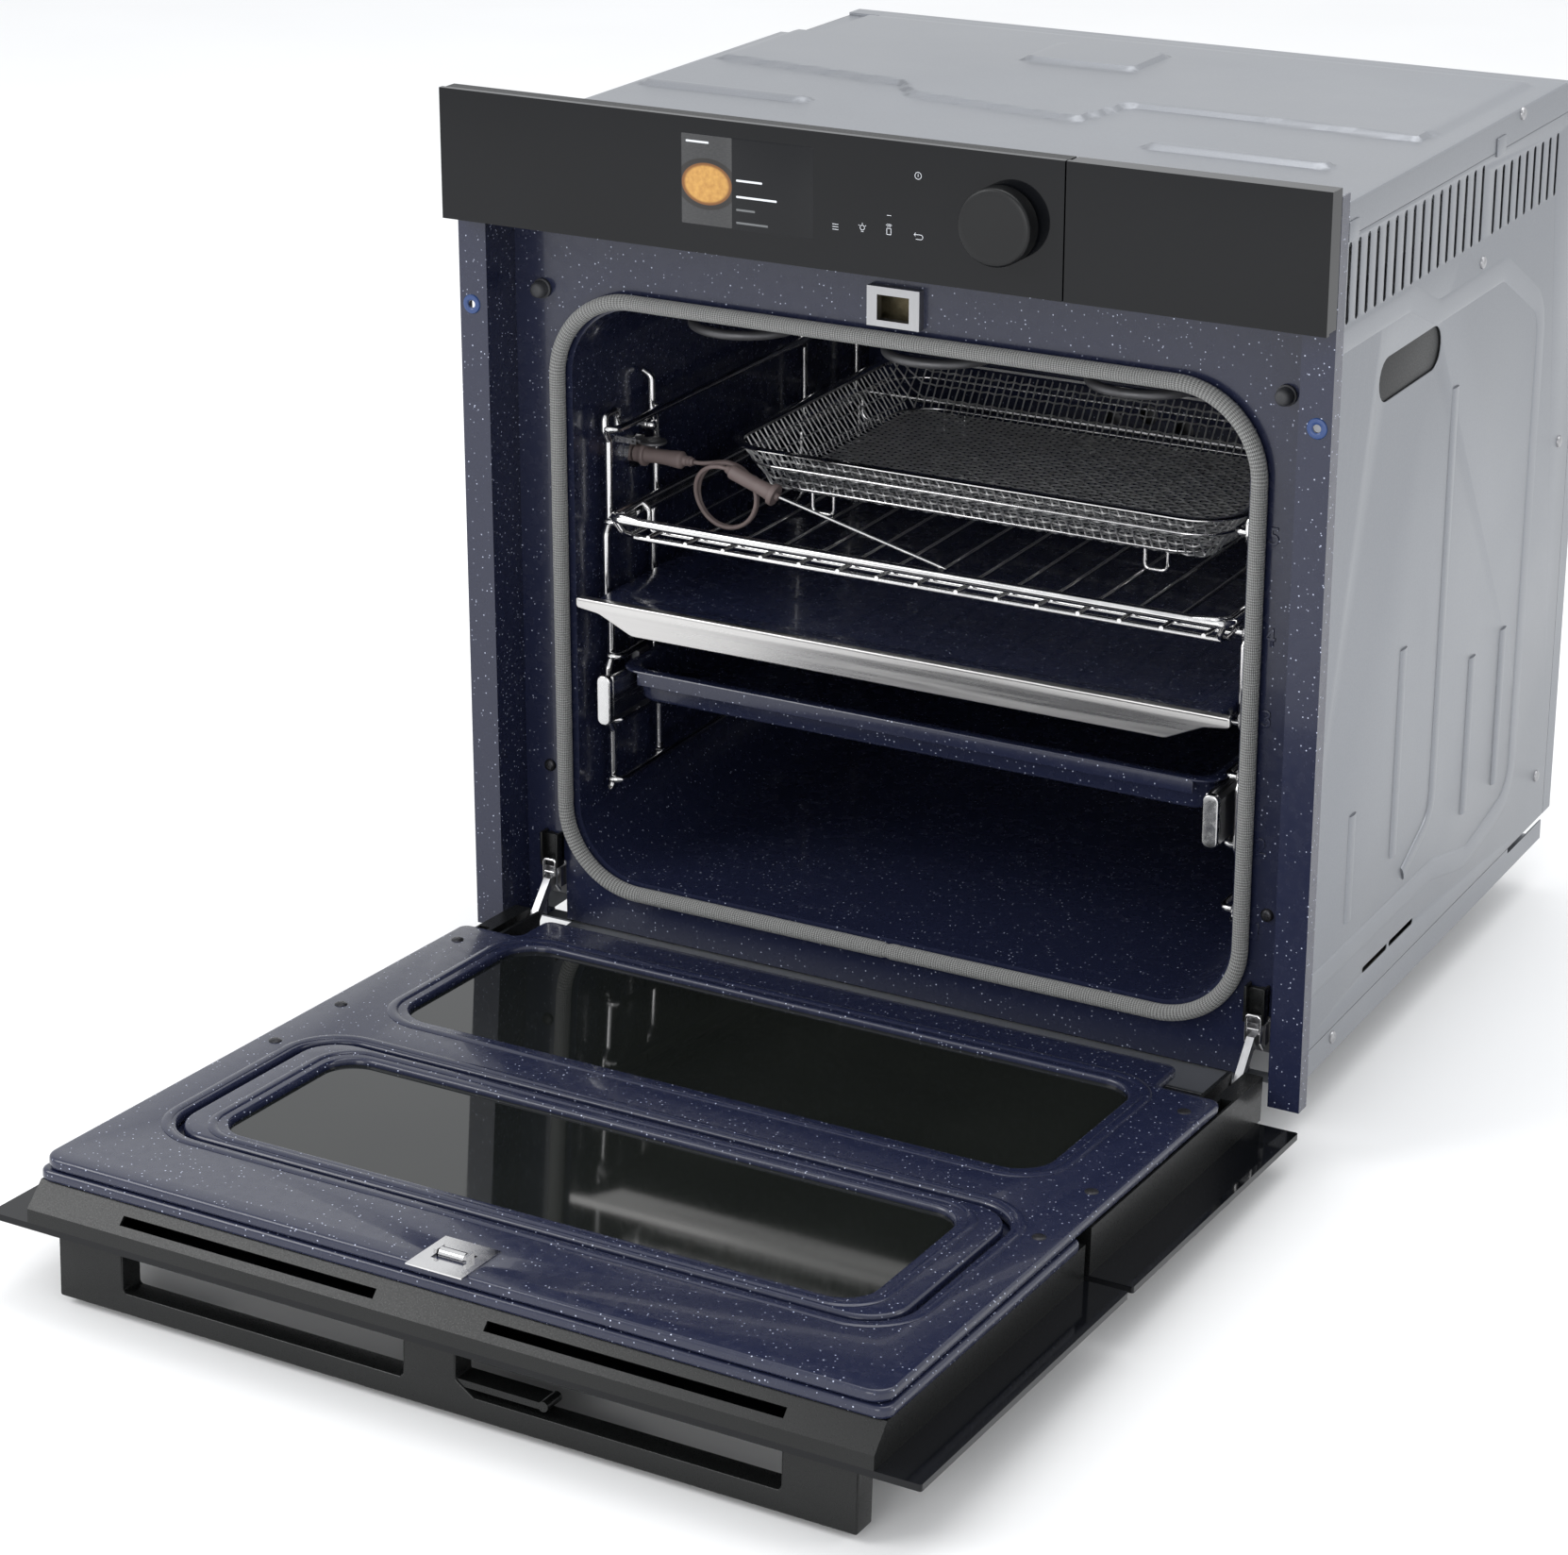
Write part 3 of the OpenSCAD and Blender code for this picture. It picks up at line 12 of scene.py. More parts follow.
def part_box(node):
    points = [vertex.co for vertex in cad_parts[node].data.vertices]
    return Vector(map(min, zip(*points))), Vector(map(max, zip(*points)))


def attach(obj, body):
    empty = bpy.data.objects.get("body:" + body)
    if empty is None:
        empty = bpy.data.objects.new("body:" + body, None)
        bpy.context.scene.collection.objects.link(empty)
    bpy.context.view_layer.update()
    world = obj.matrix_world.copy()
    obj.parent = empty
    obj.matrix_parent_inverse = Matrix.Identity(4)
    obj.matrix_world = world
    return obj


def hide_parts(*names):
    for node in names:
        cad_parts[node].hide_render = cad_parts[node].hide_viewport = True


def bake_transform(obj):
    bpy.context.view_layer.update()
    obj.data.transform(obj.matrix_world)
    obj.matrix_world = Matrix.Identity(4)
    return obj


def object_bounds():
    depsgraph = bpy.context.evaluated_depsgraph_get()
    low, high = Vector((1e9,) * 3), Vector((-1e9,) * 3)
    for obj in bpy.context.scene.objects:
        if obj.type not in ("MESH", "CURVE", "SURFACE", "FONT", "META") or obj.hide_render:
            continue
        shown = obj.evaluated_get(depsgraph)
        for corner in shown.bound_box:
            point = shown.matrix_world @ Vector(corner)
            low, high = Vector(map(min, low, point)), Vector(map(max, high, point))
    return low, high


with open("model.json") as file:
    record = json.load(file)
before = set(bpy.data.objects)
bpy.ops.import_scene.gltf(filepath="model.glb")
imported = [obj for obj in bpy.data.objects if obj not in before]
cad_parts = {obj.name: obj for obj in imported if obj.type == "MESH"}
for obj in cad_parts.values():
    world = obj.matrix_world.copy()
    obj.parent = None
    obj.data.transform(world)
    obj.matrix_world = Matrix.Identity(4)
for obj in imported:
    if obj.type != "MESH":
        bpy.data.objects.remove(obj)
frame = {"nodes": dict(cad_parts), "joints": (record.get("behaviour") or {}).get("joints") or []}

bl_info = {
    "name": "Wall oven",
    "version": (1, 0, 0),
    "blender": (4, 5, 0),
    "location": "View3D > Sidebar > Oven",
    "description": "Builds the visible pieces of a built-in oven around its CAD frame",
    "category": "Add Mesh",
}

CAD_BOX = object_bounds()
METRE = 0.001

# Rise of the pressed ribs and of the top sheet's pressings, and where its raised field may begin.
RIB_RISE = 1.5
RELIEF = 3.0
FIELD_FRONT = 200.0
BODY = "oven"


class Box:
    """Lowest and highest corner of a CAD node, in millimetres."""

    def __init__(self, node):
        low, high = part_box(node)
        self.x0, self.y0, self.z0 = (v / METRE for v in low)
        self.x1, self.y1, self.z1 = (v / METRE for v in high)


LINER = Box("cavity_liner")
SEAL = Box("door_seal")
SIDE = Box("side_panel_right")
TOP = Box("top_cover")
GLASS = Box("panel_glass")
DIAL = Box("dial")
RACK = Box("side_rack_right")
SHELF = Box("wire_shelf")
BASKET = Box("mesh_basket")
TRAY = Box("baking_tray")
BAR = Box("divider_bar")
PLATE = Box("divider_plate")
STOPS = Box("front_stops")

LINER_T = 1.2
CAVITY_HALF = LINER.x1 - LINER_T
RECESS = SEAL.y1
HALF_W = SIDE.x1 - RIB_RISE
FASCIA_Y = GLASS.y0

HINGE = next(j for j in frame["joints"] if j["name"] == "door_hinge")
PIVOT = Vector(HINGE["pos_m"]) / METRE
DOOR_OPEN = math.radians(max(abs(a) for a in HINGE["range_deg"]))
SHUT_TO_OPEN = (
    Matrix.Translation(PIVOT) @ Matrix.Rotation(DOOR_OPEN, 4, "X") @ Matrix.Translation(-PIVOT)
)


# ---------------------------------------------------------------- settings


class OvenSizes(bpy.types.PropertyGroup):
    """Sizes of the fine detail, in metres"""

    basket_pitch: FloatProperty(
        name="Basket pitch", description="Distance between the basket's wires", default=0.0058,
        min=0.004, max=0.012, unit="LENGTH",
    )
    basket_wire: FloatProperty(
        name="Basket wire", description="Diameter of the basket's wires", default=0.0013,
        min=0.0005, max=0.002, unit="LENGTH",
    )
    wire_sides: IntProperty(
        name="Wire sides", description="Sides of the round wires", default=12, min=6, max=24,
    )
    bend_steps: IntProperty(
        name="Bend steps", description="Steps of each bend in a wire", default=6, min=2, max=12,
    )
    sheet_edge: FloatProperty(
        name="Sheet edge", description="Radius of the edges of the enamelled sheets",
        default=0.0022, min=0.0005, max=0.003, unit="LENGTH",
    )
    speckle: FloatProperty(
        name="Speckle pitch", description="Distance between the specks in the enamel",
        default=0.003, min=0.001, max=0.01, unit="LENGTH",
    )
    braid_pitch: FloatProperty(
        name="Braid pitch", description="Length of one stitch of the seal's braid", default=0.0036,
        min=0.001, max=0.006, unit="LENGTH",
    )


def tint(label, text, colour):
    """A colour setting."""
    return FloatVectorProperty(
        name=label, description=text, default=colour, size=3, min=0, max=1, subtype="COLOR"
    )


class OvenColours(bpy.types.PropertyGroup):
    """Main colours of the finishes"""

    enamel: tint("Enamel", "Glassy enamel of the cavity and the door", (0.0125, 0.0155, 0.038))
    body: tint("Body sheet", "Coated steel of the body", (0.25, 0.26, 0.28))
    glass: tint("Black glass", "Glass of the panel and the door", (0.004, 0.0044, 0.0055))
    seal: tint("Seal", "Braid of the door seal", (0.19, 0.192, 0.188))
    probe: tint("Probe", "Silicone of the food probe", (0.15, 0.115, 0.11))


def sizes():
    """The sizes of the detail."""
    return bpy.context.scene.oven_sizes


def colours():
    """The main colours."""
    return bpy.context.scene.oven_colours


# ---------------------------------------------------------------- finishes


class Value:
    """A number that a shader node gives, with the usual signs for arithmetic."""

    def __init__(self, paint, socket):
        self.paint = paint
        self.socket = socket

    def _math(self, operation, *values):
        node = self.paint.node(
            "ShaderNodeMath", {"operation": operation}, dict(enumerate(values))
        )
        return Value(self.paint, node.outputs[0])

    def __add__(self, other):
        return self._math("ADD", self, other)

    __radd__ = __add__

    def __sub__(self, other):
        return self._math("SUBTRACT", self, other)

    def __rsub__(self, other):
        return self._math("SUBTRACT", other, self)

    def __mul__(self, other):
        return self._math("MULTIPLY", self, other)

    __rmul__ = __mul__

    def __lt__(self, other):
        return self._math("LESS_THAN", self, other)

    def __gt__(self, other):
        return self._math("GREATER_THAN", self, other)

    def __pow__(self, other):
        return self._math("POWER", self, other)

    def sine(self):
        return self._math("SINE", self)


class Paint:
    """A material in the making."""

    def __init__(self, name, **constants):
        self.material = bpy.data.materials.new(name)
        self.material.use_nodes = True
        self.tree = self.material.node_tree
        self.shader = self.tree.nodes["Principled BSDF"]
        for key, value in constants.items():
            self.give(key.replace("_", " ").title().replace("Ior", "IOR"), value)

    def feed(self, socket, value):
        """Sets a socket to a constant, or links it to a value or another socket."""
        if isinstance(value, Value):
            value = value.socket
        if isinstance(value, bpy.types.NodeSocket):
            self.tree.links.new(value, socket)
        else:
            socket.default_value = value

    def node(self, kind, settings=None, inputs=None):
        """A new node of that type, with its settings first and then its sockets."""
        made = self.tree.nodes.new(kind)
        for key, value in (settings or {}).items():
            if key == "stops":
                ramp = made.color_ramp
                while len(ramp.elements) < len(value):
                    ramp.elements.new(1.0)
                for stop, (place, colour) in zip(ramp.elements, value):
                    stop.position = place
                    stop.color = (*colour, 1)
            else:
                setattr(made, key, value)
        for key, value in (inputs or {}).items():
            self.feed(made.inputs[key], value)
        return made

    def give(self, name, value):
        """Sets or links one of the shader's own sockets."""
        if isinstance(value, tuple) and len(value) == 3 and name != "Normal":
            value = (*value, 1)
        self.feed(self.shader.inputs[name], value)

    def place(self, stretch=(1, 1, 1), shift=(0, 0, 0), source="Object"):
        """Coordinates of the piece, stretched and moved."""
        where = self.node("ShaderNodeTexCoord")
        moved = self.node(
            "ShaderNodeMapping",
            {},
            {"Vector": where.outputs[source], "Scale": stretch, "Location": shift},
        )
        return moved.outputs[0]

    def axes(self, place):
        """The three coordinates of a place as values."""
        parts = self.node("ShaderNodeSeparateXYZ", {}, {0: place})
        return [Value(self, parts.outputs[i]) for i in range(3)]

    def noise(self, scale, detail=3.0, stretch=(1, 1, 1), rough=0.5):
        """Soft noise between 0 and 1."""
        made = self.node(
            "ShaderNodeTexNoise",
            {},
            {"Vector": self.place(stretch), "Scale": scale, "Detail": detail, "Roughness": rough},
        )
        return Value(self, made.outputs["Fac"])

    def cells(self, scale):
        """Distance to the nearest of many scattered points, and a random number for each."""
        made = self.node(
            "ShaderNodeTexVoronoi", {"feature": "F1"}, {"Vector": self.place(), "Scale": scale}
        )
        own = self.node("ShaderNodeSeparateColor", {}, {0: made.outputs["Color"]})
        return Value(self, made.outputs["Distance"]), Value(self, own.outputs[0])

    def between(self, value, low, high, start=0.0, end=1.0):
        """A value carried smoothly from one range to another."""
        made = self.node(
            "ShaderNodeMapRange",
            {"interpolation_type": "SMOOTHSTEP"},
            {"Value": value, "From Min": low, "From Max": high, "To Min": start, "To Max": end},
        )
        return Value(self, made.outputs[0])

    def mix(self, factor, first, second):
        """Colour between two colours."""
        pick = [(*c, 1) if isinstance(c, tuple) else c for c in (first, second)]
        made = self.node(
            "ShaderNodeMix", {"data_type": "RGBA"}, {0: factor, 6: pick[0], 7: pick[1]}
        )
        return made.outputs[2]

    def bump(self, height, strength, depth):
        """Fine relief in the surface, its depth in metres."""
        made = self.node(
            "ShaderNodeBump", {}, {"Height": height, "Strength": strength, "Distance": depth}
        )
        self.give("Normal", made.outputs[0])


def shade(colour, by):
    """A colour made lighter or darker."""
    return tuple(min(1.0, c * by) for c in colour)


def enamel():
    """Dark blue glassy enamel with fine pale specks."""
    base = tuple(colours().enamel)
    p = Paint("enamel", coat_weight=0.25, coat_roughness=0.05, specular_ior_level=0.4)
    near, own = p.cells(1 / sizes().speckle)
    fine, lit = p.cells(2.1 / sizes().speckle)
    cloud = p.noise(9, 2)
    deep = p.mix(cloud, shade(base, 0.94), shade(base, 1.06))
    specks = (near < 0.15) * (own > 0.5) * p.between(own, 0.45, 1.0, 0.35, 1.0)
    small = (fine < 0.15) * (lit > 0.6) * 0.45
    some = p.mix(small, deep, (0.09, 0.105, 0.18))
    p.give("Base Color", p.mix(specks, some, (0.5, 0.54, 0.68)))
    p.give("Roughness", p.between(p.noise(140, 2), 0.3, 0.7, 0.2, 0.3))
    p.bump(p.noise(30, 1), 0.04, 0.0003)
    return p.material


def coated_steel():
    """Pale coated sheet steel with a soft, grainy sheen."""
    base = tuple(colours().body)
    p = Paint("coated_steel")
    p.give("Metallic", p.between(p.noise(5, 2), 0.3, 0.7, 0.7, 0.8))
    grain = p.noise(900, 2)
    cloud = p.noise(6, 3)
    p.give("Base Color", p.mix(grain * 0.55 + cloud * 0.45, shade(base, 0.84), shade(base, 1.18)))
    p.give("Roughness", p.between(cloud, 0.3, 0.7, 0.33, 0.42))
    p.bump(grain, 0.3, 0.00012)
    return p.material


def chrome():
    """Polished chrome wire, with faint drawing marks and haze."""
    p = Paint("chrome", metallic=1.0)
    haze = p.noise(70, 3)
    p.give("Base Color", p.mix(haze, (0.56, 0.56, 0.57), (0.82, 0.81, 0.8)))
    p.give("Roughness", p.between(haze, 0.3, 0.7, 0.09, 0.2))
    p.bump(p.noise(500, 2), 0.12, 0.0001)
    return p.material


def woven_wire():
    """Bright, slightly rough wire of the basket."""
    p = Paint("woven_wire", metallic=0.9)
    wear = p.noise(220, 3)
    p.give("Base Color", p.mix(wear, (0.6, 0.6, 0.6), (0.9, 0.9, 0.89)))
    p.give("Roughness", p.between(wear, 0.3, 0.7, 0.34, 0.48))
    return p.material


def brushed(name, colour, stretch, rough):
    """Brushed steel, its grain stretched along one axis."""
    p = Paint(name, metallic=1.0)
    grain = p.noise(240, 4, stretch)
    p.give("Base Color", p.mix(grain, shade(colour, 0.8), shade(colour, 1.12)))
    p.give("Roughness", p.between(grain, 0.25, 0.75, rough - 0.07, rough + 0.09))
    p.bump(grain, 0.25, 0.0002)
    return p.material


def black_glass():
    """Deep black glass, its surface perfectly smooth apart from a trace of haze."""
    base = tuple(colours().glass)
    p = Paint("black_glass", specular_ior_level=0.24, ior=1.5)
    haze = p.noise(12, 2)
    p.give("Base Color", p.mix(haze, shade(base, 0.8), shade(base, 1.3)))
    p.give("Roughness", p.between(haze, 0.2, 0.8, 0.05, 0.1))
    return p.material


def tinted_window():
    """Dark coated window glass, a little green and mirror-like."""
    p = Paint("tinted_window", specular_ior_level=0.4, ior=1.5)
    depth = p.noise(7, 2)
    p.give("Base Color", p.mix(depth, (0.004, 0.0048, 0.0044), (0.013, 0.0145, 0.0128)))
    p.give("Roughness", p.between(depth, 0.2, 0.8, 0.02, 0.06))
    return p.material


def moulded(name, colour, rough, scale=900.0, depth=0.0001, metallic=0.0, gloss=0.5):
    """Moulded or painted surface with a fine, even grain."""
    p = Paint(name, metallic=metallic, specular_ior_level=gloss)
    grain = p.noise(scale, 2)
    cloud = p.noise(14, 2)
    p.give("Base Color", p.mix(cloud, shade(colour, 0.85), shade(colour, 1.2)))
    p.give("Roughness", p.between(grain, 0.2, 0.8, rough - 0.06, rough + 0.08))
    p.bump(grain, 0.4, depth)
    return p.material


def braid():
    """Woven glass-fibre braid that follows the seal round its path, with painted shade in the
    hollows of its weave and painted highlight on its stitches.
    """
    base = tuple(colours().seal)
    p = Paint("braid", sheen_weight=0.25, sheen_roughness=0.5)
    along, round_it, _ = p.axes(p.place(source="UV"))
    turn = 2 * math.pi
    left = ((along + round_it) * turn).sine()
    right = ((along - round_it) * turn).sine()
    knot = left * right
    strand = p.between(knot, -0.8, 0.8)
    fibre = p.noise(2600, 2)
    # The stitch pattern sets the colour as well as the relief: darker in the hollows between
    # stitches as painted shade, lighter on their crests as painted highlight.
    p.give("Base Color", p.mix(strand * 0.75 + fibre * 0.25, shade(base, 0.28), shade(base, 1.9)))
    p.give("Roughness", p.between(fibre, 0.2, 0.8, 0.62, 0.8))
    p.bump(strand + fibre * 0.3, 0.9, 0.0009)
    return p.material


def silicone():
    """Matt silicone of the probe's plug, cord and grip."""
    base = tuple(colours().probe)
    p = Paint("silicone", specular_ior_level=0.4)
    grain = p.noise(700, 2)
    p.give("Base Color", p.mix(p.noise(40, 2), shade(base, 0.85), shade(base, 1.2)))
    p.give("Roughness", p.between(grain, 0.2, 0.8, 0.45, 0.6))
    p.bump(grain, 0.3, 0.0001)
    return p.material


def wool():
    """Yellow-brown mineral wool."""
    p = Paint("wool", roughness=0.95)
    fibre = p.noise(260, 5, (1, 6, 1), 0.7)
    p.give("Base Color", p.mix(fibre, (0.2, 0.16, 0.08), (0.5, 0.43, 0.27)))
    p.bump(fibre, 0.9, 0.003)
    return p.material


def clear_plastic():
    """Milky clear plastic of the water tank."""
    p = Paint("clear_plastic", alpha=0.55, ior=1.49)
    cloud = p.noise(20, 2)
    p.give("Base Color", p.mix(cloud, (0.55, 0.6, 0.64), (0.7, 0.74, 0.77)))
    p.give("Roughness", p.between(cloud, 0.2, 0.8, 0.12, 0.2))
    return p.material


def lamp_glass():
    """Ribbed glass of the oven lamp."""
    p = Paint("lamp_glass", specular_ior_level=0.6)
    _, y, z = p.axes(p.place((700, 700, 700)))
    ribs = y.sine() * z.sine()
    p.give("Base Color", p.mix(p.between(ribs, -1, 1), (0.4, 0.4, 0.38), (0.75, 0.74, 0.7)))
    p.give("Roughness", p.between(ribs, -1, 1, 0.1, 0.25))
    p.bump(ribs, 0.5, 0.0006)
    return p.material


def circuit_board():
    """Dark green board with paler tracks."""
    p = Paint("circuit_board")
    near, own = p.cells(180)
    p.give("Base Color", p.mix((near > 0.35) * own, (0.006, 0.035, 0.015), (0.02, 0.09, 0.04)))
    p.give("Roughness", p.between(own, 0, 1, 0.35, 0.55))
    return p.material


def screen(name, glow):
    """Lit mark on the panel: an icon or a line of the menu."""
    p = Paint(name, roughness=0.35)
    grid = p.noise(1500, 1)
    p.give("Base Color", p.mix(grid, shade(glow, 0.75), glow))
    p.give("Emission Color", p.mix(grid, shade(glow, 0.85), glow))
    p.give("Emission Strength", 0.55)
    return p.material


def dish_picture(x_mid, z_mid):
    """Screen picture of a round baked dish on a dark cloth."""
    p = Paint("dish_picture", roughness=0.3, emission_strength=0.12)
    x, _, z = p.axes(p.place((1000, 1000, 1000), (-x_mid, 0, -z_mid)))
    lean = (z * 1.35) * (z * 1.35)
    away = (x * x + lean) ** 0.5
    wobble = p.noise(300, 4)
    crust = p.mix(wobble, (0.28, 0.11, 0.02), (0.62, 0.36, 0.09))
    cloth = p.mix(p.noise(420, 3, (1, 1, 3)), (0.012, 0.013, 0.014), (0.05, 0.05, 0.052))
    edge = p.mix(p.between(away, 14.0, 16.5), crust, (0.16, 0.06, 0.01))
    bowl = p.mix(p.between(away, 17.2, 17.8), edge, (0.012, 0.01, 0.009))
    picture = p.mix(p.between(away, 21.2, 21.8), bowl, cloth)
    p.give("Base Color", picture)
    p.give("Emission Color", picture)
    return p.material


FINISHES = {}

MAKERS = {
    "enamel": enamel,
    "coated_steel": coated_steel,
    "chrome": chrome,
    "woven_wire": woven_wire,
    "divider_steel": lambda: brushed("divider_steel", (0.6, 0.59, 0.58), (0.03, 1, 1), 0.3),
    "bright_steel": lambda: brushed("bright_steel", (0.62, 0.62, 0.62), (1, 0.05, 1), 0.24),
    "hinge_steel": lambda: brushed("hinge_steel", (0.4, 0.4, 0.41), (1, 1, 0.1), 0.34),
    "fan_steel": lambda: brushed("fan_steel", (0.38, 0.38, 0.39), (1, 1, 1), 0.4),
    "needle_steel": lambda: brushed("needle_steel", (0.66, 0.66, 0.66), (0.1, 1, 1), 0.16),
    "heater_steel": lambda: moulded("heater_steel", (0.11, 0.11, 0.115), 0.45, 500, 0.0002, 0.7),
    "black_glass": black_glass,
    "tinted_window": tinted_window,
    "black_metal": lambda: moulded(
        "black_metal", (0.006, 0.0065, 0.0065), 0.3, 1200, 0.00004, gloss=0.3
    ),
    "black_plastic": lambda: moulded("black_plastic", (0.009, 0.0095, 0.01), 0.45, gloss=0.3),
    "dial_black": lambda: moulded(
        "dial_black", (0.006, 0.0064, 0.007), 0.36, 1600, 0.00004, gloss=0.3
    ),
    "rubber": lambda: moulded("rubber", (0.035, 0.036, 0.04), 0.6),
    "grey_plastic": lambda: moulded("grey_plastic", (0.2, 0.2, 0.2), 0.5),
    "white_plastic": lambda: moulded("white_plastic", (0.66, 0.66, 0.64), 0.42),
    "blue_plastic": lambda: moulded("blue_plastic", (0.02, 0.05, 0.16), 0.35),
    "dark_screw": lambda: moulded("dark_screw", (0.03, 0.03, 0.034), 0.32, 900, 0.0001, 0.7),
    "braid": braid,
    "silicone": silicone,
    "wool": wool,
    "clear_plastic": clear_plastic,
    "lamp_glass": lamp_glass,
    "circuit_board": circuit_board,
    "icon_white": lambda: screen("icon_white", (0.62, 0.64, 0.68)),
    "list_white": lambda: screen("list_white", (0.55, 0.57, 0.6)),
    "list_grey": lambda: screen("list_grey", (0.1, 0.105, 0.11)),
    "screen_dark": lambda: moulded(
        "screen_dark", (0.0065, 0.007, 0.0085), 0.12, 800, 0.00001, gloss=0.24
    ),
}


def finish(name):
    """The material of that name, made when it is first asked for."""
    if name not in FINISHES:
        FINISHES[name] = MAKERS[name]()
    return FINISHES[name]


# ---------------------------------------------------------------- shapes, in millimetres


def merged(bm, gap=0.001):
    """Joins touching corners and turns the faces outwards."""
    bmesh.ops.remove_doubles(bm, verts=bm.verts, dist=gap)
    bmesh.ops.recalc_face_normals(bm, faces=bm.faces)
    return bm


def joined(*parts):
    """One mesh of several."""
    bm = bmesh.new()
    for part in parts:
        mesh = bpy.data.meshes.new("part")
        part.to_mesh(mesh)
        part.free()
        bm.from_mesh(mesh)
        bpy.data.meshes.remove(mesh)
    return bm


def rounded(corners, steps=6):
    """Outline with its corners, each (u, v, radius), rounded."""
    out = []
    count = len(corners)
    for i, (u, v, radius) in enumerate(corners):
        here = Vector((u, v))
        back = (Vector(corners[i - 1][:2]) - here).normalized()
        ahead = (Vector(corners[(i + 1) % count][:2]) - here).normalized()
        if radius < 1e-6:
            out.append((u, v))
            continue
        half = back.angle(ahead) / 2
        reach = radius / math.tan(half)
        centre = here + (back + ahead).normalized() * (radius / math.sin(half))
        first = here + back * reach - centre
        turn = first.angle_signed(here + ahead * reach - centre)
        for k in range(steps + 1):
            spun = Matrix.Rotation(-turn * k / steps, 2) @ first
            out.append(tuple(centre + spun))
    return out


def rectangle(u0, u1, v0, v1, radius, steps=6):
    """Rectangle with round corners."""
    return rounded([(u0, v0, radius), (u1, v0, radius), (u1, v1, radius), (u0, v1, radius)], steps)


def mirrored(bm):
    """A copy on the other side of the middle."""
    other = bm.copy()
    bmesh.ops.scale(other, vec=(-1, 1, 1), verts=other.verts)
    bmesh.ops.reverse_faces(other, faces=other.faces)
    return joined(bm, other)


LIE = {
    "xy": Matrix.Identity(4),
    "xz": Matrix.Rotation(math.pi / 2, 4, "X"),
    "yz": Matrix(((0, 0, 1, 0), (1, 0, 0, 0), (0, 1, 0, 0), (0, 0, 0, 1))),
}


def plate(plane, outline, holes, low, high, edge, steps=3):
    """Sheet with holes and rounded edges, in that plane, from low to high across it."""
    curve = bpy.data.curves.new("outline", "CURVE")
    curve.dimensions = "2D"
    curve.fill_mode = "BOTH"
    curve.extrude = max((high - low) / 2 - edge, 0)
    curve.bevel_depth = edge
    curve.bevel_resolution = steps
    curve.offset = -edge
    for loop in [outline, *holes]:
        line = curve.splines.new("POLY")
        line.points.add(len(loop) - 1)
        for point, (u, v) in zip(line.points, loop):
            point.co = (u, v, 0, 1)
        line.use_cyclic_u = True
    holder = bpy.data.objects.new("outline", curve)
    bpy.context.scene.collection.objects.link(holder)
    graph = bpy.context.evaluated_depsgraph_get()
    mesh = bpy.data.meshes.new_from_object(holder.evaluated_get(graph))
    bpy.data.objects.remove(holder)
    bpy.data.curves.remove(curve)
    bm = bmesh.new()
    bm.from_mesh(mesh)
    bpy.data.meshes.remove(mesh)
    middle = (low + high) / 2
    side = {
        "xy": Vector((0, 0, middle)), "xz": Vector((0, middle, 0)), "yz": Vector((middle, 0, 0))
    }
    bmesh.ops.transform(bm, matrix=Matrix.Translation(side[plane]) @ LIE[plane], verts=bm.verts)
    return merged(bm)


def block(x0, x1, y0, y1, z0, z1, edge):
    """Block with rounded edges."""
    bm = bmesh.new()
    bmesh.ops.create_cube(bm, size=1)
    bmesh.ops.scale(bm, vec=(x1 - x0, y1 - y0, z1 - z0), verts=bm.verts)
    bmesh.ops.translate(bm, vec=((x0 + x1) / 2, (y0 + y1) / 2, (z0 + z1) / 2), verts=bm.verts)
    bmesh.ops.bevel(
        bm, geom=bm.edges[:], offset=edge, offset_type="OFFSET", segments=3, profile=0.5,
        affect="EDGES",
    )
    return merged(bm)


def loft(rings, caps=True, endless=False, uv=None):
    """Skin over rings of equal count; uv gives the pattern's length for each ring."""
    bm = bmesh.new()
    layer = bm.loops.layers.uv.new("UVMap") if uv else None
    rows = [[bm.verts.new(p) for p in ring] for ring in rings]
    count = len(rows[0])
    last = len(rows) if endless else len(rows) - 1
    for i in range(last):
        for k in range(count):
            n = (k + 1) % count
            j = (i + 1) % len(rows)
            face = bm.faces.new((rows[i][k], rows[j][k], rows[j][n], rows[i][n]))
            if layer:
                across = [(i, k), (i + 1, k), (i + 1, k + 1), (i, k + 1)]
                for corner, (a, b) in zip(face.loops, across):
                    corner[layer].uv = (uv[0] * a, uv[1] * b / count)
    if caps and not endless:
        bm.faces.new(rows[0][::-1])
        bm.faces.new(rows[-1])
    bmesh.ops.recalc_face_normals(bm, faces=bm.faces)
    return bm


def turned(start, end, profile, sides=32):
    """Round piece on the axis from start to end; the profile gives (distance, radius)."""
    start, end = Vector(start), Vector(end)
    axis = (end - start).normalized()
    side = axis.orthogonal().normalized()
    across = axis.cross(side)
    rings = []
    for reach, radius in profile:
        middle = start + axis * reach
        rings.append(
            [
                middle
                + side * (radius * math.cos(2 * math.pi * k / sides))
                + across * (radius * math.sin(2 * math.pi * k / sides))
                for k in range(sides)
            ]
        )
    return loft(rings)


